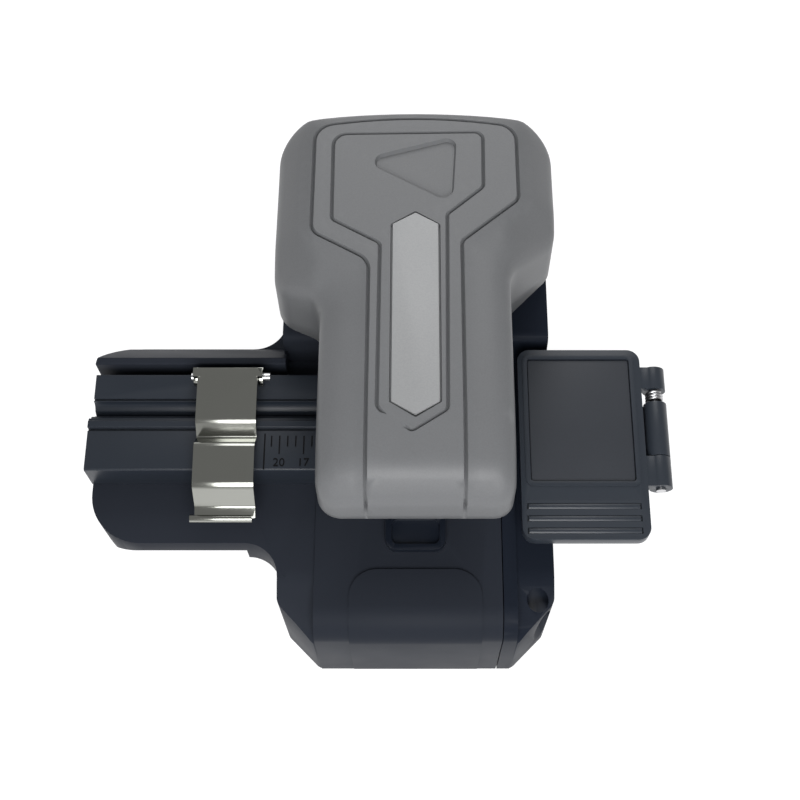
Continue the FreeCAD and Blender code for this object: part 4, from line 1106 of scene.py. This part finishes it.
@dataclass
class Springs:
    """All coil springs of the cleaver.

    Attributes:
        pad_y: Place along the lever of the pads' and the anvil's springs.
        pin_height: Height of the clamp's pin.
        pin_y: Place of the clamp's pin.
        lid_pin: Place of the lid's pin across, and its height.
    """

    pad_y: float = -2.4
    pin_height: float = 25.25
    pin_y: float = 1.55
    lid_pin: Point = (30.15, 22.75)

    @staticmethod
    def _raised(x: float, y: float, z: float) -> Vector:
        """Rest place of a point given in the lever's pressed pose."""
        turn = Matrix.Rotation(math.radians(-LEVER_RISE_DEG), 3, "X")
        return LEVER_HINGE + turn @ (Vector((x, y, z)) - LEVER_HINGE)

    @staticmethod
    def _wire(name: str, *coils: Coil) -> bpy.types.Object:
        """Makes one piece of one or more coils.

        Args:
            name: Name of the piece.
            *coils: Its coils.

        Returns:
            The piece.
        """
        mesh = bmesh.new()
        for coil in coils:
            coil.mesh_into(mesh)
        return new_object(name, mesh, WIRE_SMOOTH_DEG)

    def _pressed(self, piece: bpy.types.Object, node: str) -> None:
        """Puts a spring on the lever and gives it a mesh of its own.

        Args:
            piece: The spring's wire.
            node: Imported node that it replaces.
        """
        place(piece, "lever", "spring_steel", node)
        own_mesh(piece)

    def build(self) -> None:
        """Makes each spring and puts it on its body."""
        seat = 21.0
        lever = self._wire("lever_spring_wire", *(
            Coil(Vector((x, 12, seat)), Vector((x, 12, 29.3)), 2.0, 0.33, 6) for x in (-5.5, 5.5)))
        place(lever, "body", "spring_steel", "lever_springs")
        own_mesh(lever)

        low, high = 25.2, 27.2
        pads = self._wire("pad_spring_wire", *(
            Coil(self._raised(x, self.pad_y, low), self._raised(x, self.pad_y, high), 1.25, 0.22, 3)
            for x in (-0.4, 7.0)))
        self._pressed(pads, "pad_springs")

        low, high = 29.4, 33.6
        anvil = self._wire("anvil_spring_wire", Coil(
            self._raised(3.3, self.pad_y, low), self._raised(3.3, self.pad_y, high), 1.3, 0.18, 5))
        self._pressed(anvil, "anvil_spring")

        clamp = self._wire("clamp_spring_wire", Coil(
            Vector((-21.5, self.pin_y, self.pin_height)), Vector((-20.0, self.pin_y, self.pin_height)),
            0.76, 0.16, 4))
        place(clamp, "body", "spring_steel", "clamp_spring")

        across, height = self.lid_pin
        lid = self._wire("lid_spring_wire", Coil(
            Vector((across, -1.1, height)), Vector((across, 0.5, height)), 0.95, 0.2, 3))
        place(lid, "body", "spring_steel", "bin_spring")


# ---------------------------------------------------------------- cut-length scale
@dataclass
class Scale:
    """Raised ticks and plain numbers of the cut-length scale on the fibre holder.

    Attributes:
        zero: Place of length 0, at the blade.
        top: Height of the holder's flat.
        tick_width: Width of a tick.
        tick_height: Height of the ticks and numbers above the flat.
        sunk: Depth by which the ticks reach into the flat.
        back: Rear end of the ticks.
        number_front: Front edge of the numbers.
        number_size: Height of the numbers' letters.
    """

    zero: float = 3.2
    top: float = 24.0
    tick_width: float = 0.16
    tick_height: float = 0.07
    sunk: float = 0.05
    back: float = -5.9
    number_front: float = -9.9
    number_size: float = 1.5

    def ticks(self, mesh: bmesh.types.BMesh) -> None:
        """Adds the ticks, one per millimetre, and the line beside them.

        Args:
            mesh: Geometry that takes them.
        """
        low, high = self.top - self.sunk, self.top + self.tick_height
        for length in range(12, 22):
            x = self.zero - length
            tip = -8.3 if (20 - length) % 3 == 0 else -7.3
            left, right = x - self.tick_width / 2, x + self.tick_width / 2
            make_block(mesh, (left, tip, low), (right, self.back, high))
        make_block(mesh, (-18.72, -10.3, low), (-18.55, -5.6, high))

    def number(self, length: int) -> bpy.types.Object:
        """Makes the raised number of a length.

        Args:
            length: The length in millimetres.

        Returns:
            The number, linked to the scene.
        """
        text = bpy.data.curves.new(f"scale_{length}", "FONT")
        text.body = str(length)
        text.size = self.number_size * MM
        text.extrude = self.tick_height / 2 * MM
        text.align_x = "CENTER"
        carrier = bpy.data.objects.new(f"scale_{length}", text)
        bpy.context.scene.collection.objects.link(carrier)
        bpy.context.view_layer.update()
        data = bpy.data.meshes.new_from_object(carrier)
        bpy.data.objects.remove(carrier)
        spot = Vector((self.zero - length, self.number_front, self.top + self.tick_height / 2))
        data.transform(Matrix.Translation((HOME + spot) * MM))
        number = bpy.data.objects.new(f"scale_number_{length}", data)
        bpy.context.scene.collection.objects.link(number)
        return number

    def build(self) -> None:
        """Makes ticks and numbers."""
        mesh = bmesh.new()
        self.ticks(mesh)
        place(new_object("scale_ticks", mesh), "body", "holder", finish="scale_ink")
        for length in (20, 17, 14):
            place(self.number(length), "body", "holder", finish="scale_ink")


# ---------------------------------------------------------------- studio
@dataclass
class Studio:
    """Camera, lamps, world and floor.

    Attributes:
        camera_at: Place of the camera.
        target: Point that it looks at.
        lens_mm: Focal length.
        sensor: Width of the sensor.
        shift: Sideways shift of the view, in widths of the picture.
        lit_point: Point that the lamps are aimed at.
        horizon: Strength of the world's light at the horizon.
        zenith: Strength of the world's light overhead.
        climb: Height on the unit sphere above which the light is the zenith's.
        floor_half: Half of the floor's side.
        floor_drop: Depth of the floor below the feet.
        floor_glow: Strength that the floor adds where it is seen.
    """

    camera_at: Vector = field(default_factory=lambda: HOME + Vector((0, -68, 178)))
    target: Vector = field(default_factory=lambda: HOME + Vector((0, 0.7, 20)))
    lens_mm: float = 60.3
    sensor: float = 36
    shift: float = -0.0194
    lit_point: Vector = field(default_factory=lambda: Vector((0, 0, 20)))
    horizon: float = 0.5
    zenith: float = 0.32
    climb: float = 0.4
    floor_half: float = 1500
    floor_drop: float = 0.02
    floor_glow: float = 0.9

    def build(self) -> None:
        """Makes the camera, lights, world and floor."""
        data = bpy.data.cameras.new("camera")
        data.lens = self.lens_mm
        data.sensor_width = self.sensor
        data.shift_x = self.shift
        data.clip_start = 0.01
        camera = bpy.data.objects.new("camera", data)
        bpy.context.scene.collection.objects.link(camera)
        camera.location = self.camera_at * MM
        camera.rotation_euler = (self.target - self.camera_at).to_track_quat("-Z", "Y").to_euler()
        bpy.context.scene.camera = camera
        self._lamp("key", Vector((10, -190, 190)), 170, 0.62)
        self._lamp("rim", Vector((20, 260, 230)), 200, 0.42)
        self._world()
        self._floor()
        bpy.context.scene.view_settings.view_transform = "Standard"

    def _lamp(self, name: str, spot: Vector, size: float, power: float) -> None:
        """Adds a square soft lamp aimed at the object.

        Args:
            name: Name of the lamp.
            spot: Its place.
            size: Its side.
            power: Its power in watts.
        """
        data = bpy.data.lights.new(name, "AREA")
        data.size = size * MM
        data.energy = power
        lamp = bpy.data.objects.new(name, data)
        lamp.location = spot * MM
        lamp.rotation_euler = (self.lit_point - spot).to_track_quat("-Z", "Y").to_euler()
        bpy.context.scene.collection.objects.link(lamp)

    @staticmethod
    def _seen(tree: bpy.types.NodeTree) -> bpy.types.NodeSocket:
        """Share of 1 for rays that see, straight, mirrored or through glass, and 0 for ones that light.

        Args:
            tree: Node tree that takes the nodes.

        Returns:
            Socket with the share.
        """
        path = tree.nodes.new("ShaderNodeLightPath")
        total = path.outputs["Is Camera Ray"]
        for kind in ("Is Glossy Ray", "Is Transmission Ray"):
            larger = tree.nodes.new("ShaderNodeMath")
            larger.operation = "MAXIMUM"
            tree.links.new(total, larger.inputs[0])
            tree.links.new(path.outputs[kind], larger.inputs[1])
            total = larger.outputs["Value"]
        return total

    def _world(self) -> None:
        """White at the horizon where it is seen, dimmer overhead and for the light itself."""
        world = bpy.data.worlds.new("studio")
        bpy.context.scene.world = world
        world.use_nodes = True
        tree = world.node_tree
        background = tree.nodes["Background"]
        way = tree.nodes.new("ShaderNodeSeparateXYZ")
        tree.links.new(tree.nodes.new("ShaderNodeTexCoord").outputs["Generated"], way.inputs["Vector"])
        climb = tree.nodes.new("ShaderNodeMapRange")
        climb.interpolation_type = "SMOOTHSTEP"
        climb.inputs["From Min"].default_value = 0.0
        climb.inputs["From Max"].default_value = self.climb
        climb.inputs["To Max"].default_value = self.zenith
        tree.links.new(way.outputs["Z"], climb.inputs["Value"])
        level = tree.nodes.new("ShaderNodeMapRange")
        level.inputs["To Min"].default_value = self.horizon
        level.inputs["To Max"].default_value = 1.0
        tree.links.new(self._seen(tree), level.inputs["Value"])
        tree.links.new(level.outputs["Result"], climb.inputs["To Min"])
        tree.links.new(climb.outputs["Result"], background.inputs["Strength"])
        background.inputs["Color"].default_value = (1, 1, 1, 1)

    def _floor(self) -> None:
        """Pale floor that keeps the object's shadow and looks white to the camera."""
        mesh = bmesh.new()
        bmesh.ops.create_grid(mesh, x_segments=1, y_segments=1, size=self.floor_half)
        floor = new_object("floor", mesh, home=Vector((0, 0, -self.floor_drop)))
        finish = bpy.data.materials.new("pale_floor")
        finish.use_nodes = True
        tree = finish.node_tree
        shader = tree.nodes["Principled BSDF"]
        shader.inputs["Base Color"].default_value = (0.24, 0.24, 0.25, 1)
        shader.inputs["Roughness"].default_value = 0.9
        strength = tree.nodes.new("ShaderNodeMath")
        strength.operation = "MULTIPLY"
        strength.inputs[1].default_value = self.floor_glow
        tree.links.new(self._seen(tree), strength.inputs[0])
        shader.inputs["Emission Color"].default_value = (1, 1, 1, 1)
        tree.links.new(strength.outputs["Value"], shader.inputs["Emission Strength"])
        floor.data.materials.append(finish)


def main() -> None:
    """Builds the cleaver's looks in order."""
    logging.basicConfig(level=logging.INFO, format="%(message)s")
    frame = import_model()
    slots = {entry["node"]: entry["material_slot"] for entry in frame["record"]["subparts"]}
    Housing(frame["nodes"], slots).build()
    LeverCover().build()
    Springs().build()
    Scale().build()
    Studio().build()


if __name__ == "__main__":
    main()
